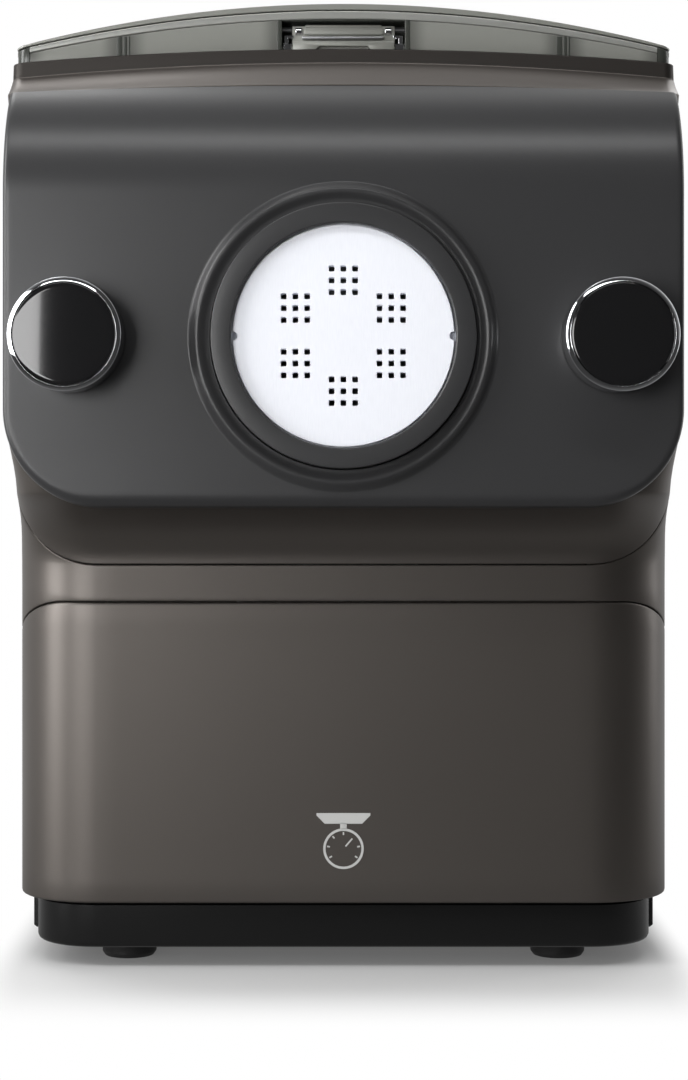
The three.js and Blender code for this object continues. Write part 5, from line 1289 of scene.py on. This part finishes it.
# Controls on the right side
def controls():
    fascia = {"y": 95, "z": 225, "halfY": 28.6, "halfZ": 34.6, "corner": 6.6, "face": 104.8, "back": 100.4}
    flange = {"rim": 3, "corner": 7, "face": 102.2}
    window = {"z": 240, "halfY": 19, "halfZ": 10, "corner": 2, "gap": 0.3}
    window.update({"glass": (103.5, 104.8), "pocket": (103.2, 108)})
    button = {"z": 208, "pitch": 13, "well": 5.0, "cut": (96, 108)}
    cap = [(0, 104.75, 0), (3.2, 104.85, 0), (4.6, 104.5, 0.4), (4.6, 100.0, 0)]
    cap = eased(cap + [(6, 100.0, 0.2), (6, 98.6, 0.2), (0, 98.6, 0)])
    names = ("power_button", "program_button", "weigh_button", "start_button")
    places = [(fascia["y"] + (i - 1.5) * button["pitch"], button["z"]) for i in range(len(names))]

    def rounded(z, halfY, halfZ, corner, steps, start, end):
        ring = roundedRing(fascia["y"] - halfY, fascia["y"] + halfY, z - halfZ, z + halfZ, corner, 0, steps)
        return Shape().pushed(ring, start, end, "x")

    def wells():
        shape = Shape()
        for place in places:
            shape.rod(button["well"], *button["cut"], place, 40, "x")
        return shape

    z, halfY, halfZ, gap, rim = fascia["z"], fascia["halfY"], fascia["halfZ"], window["gap"], flange["rim"]
    plate = rounded(z, halfY, halfZ, fascia["corner"], 8, fascia["back"], fascia["face"])
    plate = softened(meshPiece(plate, "fascia_plate", "gloss_black"), 0.35)
    back = rounded(z, halfY + rim, halfZ + rim, flange["corner"], 6, fascia["back"], flange["face"])
    back = meshPiece(back, "fascia_flange", "gloss_black")
    z, halfY, halfZ, corner = (window[key] for key in ("z", "halfY", "halfZ", "corner"))
    carved(plate, rounded(z, halfY + gap, halfZ + gap, corner + gap, 5, *window["pocket"]), wells())
    carved(back, wells())
    standsFor(evened(joined("control_fascia_plate", plate, back)), "control_fascia")
    glass = rounded(z, halfY, halfZ, corner, 5, *window["glass"])
    glass = meshPiece(glass, "display_window_glass", "display_glass")
    standsFor(softened(glass, 0.25), "display_window")
    for name, place in zip(names, places):
        shown(Shape().turned(cap, place, 48, "x"), name + "_cap", "button_grey", name)


baseTray()
feet()
controls()
print("base and controls made")


# Inner pieces keep their CAD shape and take the finish of their material
inner = {
    "steel": "chassis_plate hinge_pin_left hinge_pin_right latch_pin gear_pin_one gear_pin_two drive_shaft "
    "lock_stud_left lock_stud_right motor_case motor_stator output_bearing",
    "aluminium": "load_cell_front load_cell_rear gearbox_front_plate gearbox_rear_plate motor_end_bell "
    "motor_armature",
    "inner_plastic": "chamber_bed runner_left runner_right lid_switch cooling_fan",
    "rubber": "shaft_seal cord_gland",
    "clear_plastic": "mixing_chamber extrusion_tube drawer_tray",
    "paddle_plastic": "mixing_paddle",
    "gear_plastic": "output_gear gear_one gear_two",
    "circuit_board": "power_board control_board",
}
for slot, names in inner.items():
    for name in names.split():
        mesh = frame["nodes"][name].data
        mesh.materials.clear()
        mesh.materials.append(finishes[slot])
print("inner pieces finished")


# Studio: a pale floor, soft lamps and a level camera
studio = {
    "ambient": 0.16, "glossFront": 0.045, "glossRear": 0.6,
    "floorColour": 0.82, "floorBounce": 0.3, "floorLift": 0.11, "floorReach": 6000,
    "floorMiddle": (0.0, 0.022, 0.0), "baseHalf": (0.095, 0.146, 0.0), "fadeStretch": (4.0, 1.0, 1.0),
    "floorFade": (0.024, 0.08),    # from the base's edge, in metres
    # painted shadow on the floor: how far the occlusion reaches and how dark it gets
    "contactReach": 0.09, "contactTone": 0.36,
    # name: (place, looks at, width, height, power)
    "lamps": {
        "overhead": ((0.0, 0.35, 1.5), (0.0, 0.0, 0.1), 1.6, 0.8, 2.6),
        "left_top": ((-0.5, 0.35, 1.45), (-0.05, -0.05, 0.28), 0.5, 0.6, 4.2),
        "front_top": ((-0.12, -0.95, 1.3), (0.0, -0.1, 0.2), 1.2, 0.2, 5.6),
        "left_near": ((-0.78, -0.42, 0.3), (0.0, -0.1, 0.16), 0.34, 1.1, 9.2),
        "left_front": ((-0.56, -1.18, 0.12), (0.0, -0.1, 0.08), 0.6, 0.7, 9.0),
        "right_rim": ((1.0, 0.25, 0.3), (0.1, -0.05, 0.16), 0.25, 1.2, 2.2),
        "rear_fill": ((0.4, 1.15, 1.3), (0.0, 0.1, 0.16), 1.3, 1.0, 9.5),
    },
    "camera": {"sensor_fit": "VERTICAL", "sensor_height": 36, "lens": 73.33, "shift_x": 0.0005,
               "shift_y": -0.037, "clip_start": 0.01, "clip_end": 50},
    "cameraPlace": (0, -0.8215, 0.1485),
}


def dimmed(start, end):
    # dimmer in front of the machine than behind it
    span = {"From Min": start, "From Max": end, "To Min": studio["glossFront"], "To Max": studio["glossRear"]}
    return ("ShaderNodeMapRange", span)


# one for camera, glossy and transmission rays
seenDirectly = {"path": "ShaderNodeLightPath", "first": maths("MAXIMUM"), "seen": maths("MAXIMUM")}
seenLinks = """; path.Is Camera Ray > first.0; path.Is Glossy Ray > first.1; first.0 > seen.0;
    path.Is Transmission Ray > seen.1"""
white = {"Color": (1, 1, 1, 1)}


def makeWorld():
    world = bpy.data.worlds.new("studio world")
    bpy.context.scene.world = world
    world.use_nodes = True
    world.node_tree.nodes.clear()
    # glossy rays see a dimmer room in front of the machine
    steps = {
        **seenDirectly,
        "place": "ShaderNodeTexCoord",
        "split": "ShaderNodeSeparateXYZ",
        "gloss": dimmed(-0.35, 0.15),
        "pick": ("ShaderNodeMix", {"data_type": "FLOAT", 2: 1.0}),
        "ambient": ("ShaderNodeBackground", {**white, "Strength": studio["ambient"]}),
        "bright": ("ShaderNodeBackground", white),
        "mix": "ShaderNodeMixShader",
        "out": "ShaderNodeOutputWorld",
    }
    wired(world.node_tree, steps, """place.Generated > split.Vector; split.Y > gloss.Value; ambient.0 > mix.1;
        bright.0 > mix.2; mix.0 > out.Surface; seen.0 > mix.0; path.Is Glossy Ray > pick.0; gloss.0 > pick.3;
        pick.0 > bright.Strength""" + seenLinks)


def makeFloor():
    material = bpy.data.materials.new("pale floor")
    material.use_nodes = True
    material.node_tree.nodes.clear()
    start, end = studio["floorFade"]
    fading = {"interpolation_type": "SMOOTHSTEP", "From Min": start, "From Max": end}
    # it fades to white away from the base, near the base its colour is darkened by ambient occlusion as a
    # painted shadow, and glossy rays see it dimmed as they see the room
    steps = {
        **seenDirectly,
        "place": "ShaderNodeTexCoord",
        "centred": vectors("SUBTRACT", studio["floorMiddle"]),
        "folded": vectors("ABSOLUTE"),
        "outside": vectors("SUBTRACT", studio["baseHalf"]),
        "kept": vectors("MAXIMUM", (0.0, 0.0, 0.0)),
        "scaled": vectors("MULTIPLY", studio["fadeStretch"]),
        "reach": vectors("LENGTH"),
        "fade": ("ShaderNodeMapRange", fading),
        "tone": ("ShaderNodeMapRange", {"To Min": studio["floorBounce"], "To Max": studio["floorColour"]}),
        "colour": "ShaderNodeCombineColor",
        "contact": ("ShaderNodeAmbientOcclusion", {"samples": 24, "Distance": studio["contactReach"]}),
        "soft": ("ShaderNodeMapRange", {"To Min": studio["contactTone"]}),
        "shaded": vectors("SCALE"),
        "paint": "ShaderNodeBsdfDiffuse",
        "lift": ("ShaderNodeEmission", white),
        "strength": maths("MULTIPLY", studio["floorLift"]),
        "near": "ShaderNodeAddShader",
        "far": ("ShaderNodeEmission", white),
        "away": maths("MULTIPLY"),
        "mix": "ShaderNodeMixShader",
        "split": "ShaderNodeSeparateXYZ",
        "depth": dimmed(-0.3, 0.2),
        "dim": ("ShaderNodeEmission", white),
        "glossy": "ShaderNodeMixShader",
        "out": "ShaderNodeOutputMaterial",
    }
    wired(material.node_tree, steps, """place.Object > centred.0; centred.0 > folded.0;
        folded.0 > outside.0; outside.0 > kept.0; kept.0 > scaled.0; scaled.0 > reach.0;
        reach.Value > fade.Value; fade.0 > away.0; tone.0 > colour.0; tone.0 > colour.1; tone.0 > colour.2;
        contact.AO > soft.Value; soft.0 > shaded.Scale; colour.0 > shaded.0; shaded.0 > paint.Color;
        strength.0 > lift.Strength; paint.0 > near.0; lift.0 > near.1; away.0 > mix.0; near.0 > mix.1;
        far.0 > mix.2; place.Object > split.Vector; split.Y > depth.Value; depth.0 > dim.Strength;
        mix.0 > glossy.1; dim.0 > glossy.2; glossy.0 > out.Surface; seen.0 > strength.0; seen.0 > away.1;
        seen.0 > tone.Value; path.Is Glossy Ray > glossy.0""" + seenLinks)
    reach = studio["floorReach"]
    shape = Shape().grid([[(x, y, 0) for x in (-reach, reach)] for y in (-reach, reach)])
    floor = meshPiece(shape, "studio_floor", material, (0, 0, -100))


def makeLamps():
    for name, (place, target, width, height, power) in studio["lamps"].items():
        lamp = bpy.data.lights.new(name, "AREA")
        lamp.shape = "RECTANGLE"
        lamp.size, lamp.size_y, lamp.energy = width, height, power
        holder = linked(name, lamp)
        holder.location = place
        holder.rotation_euler = (Vector(target) - Vector(place)).to_track_quat("-Z", "Y").to_euler()


def makeCamera():
    camera = bpy.data.cameras.new("photo camera")
    for key, value in studio["camera"].items():
        setattr(camera, key, value)
    holder = linked("photo_camera", camera)
    holder.location = studio["cameraPlace"]
    holder.rotation_euler = (halfPi, 0, 0)
    bpy.context.scene.camera = holder


makeWorld()
makeFloor()
makeLamps()
makeCamera()
bpy.context.scene.view_settings.view_transform = "Standard"
print("studio ready")

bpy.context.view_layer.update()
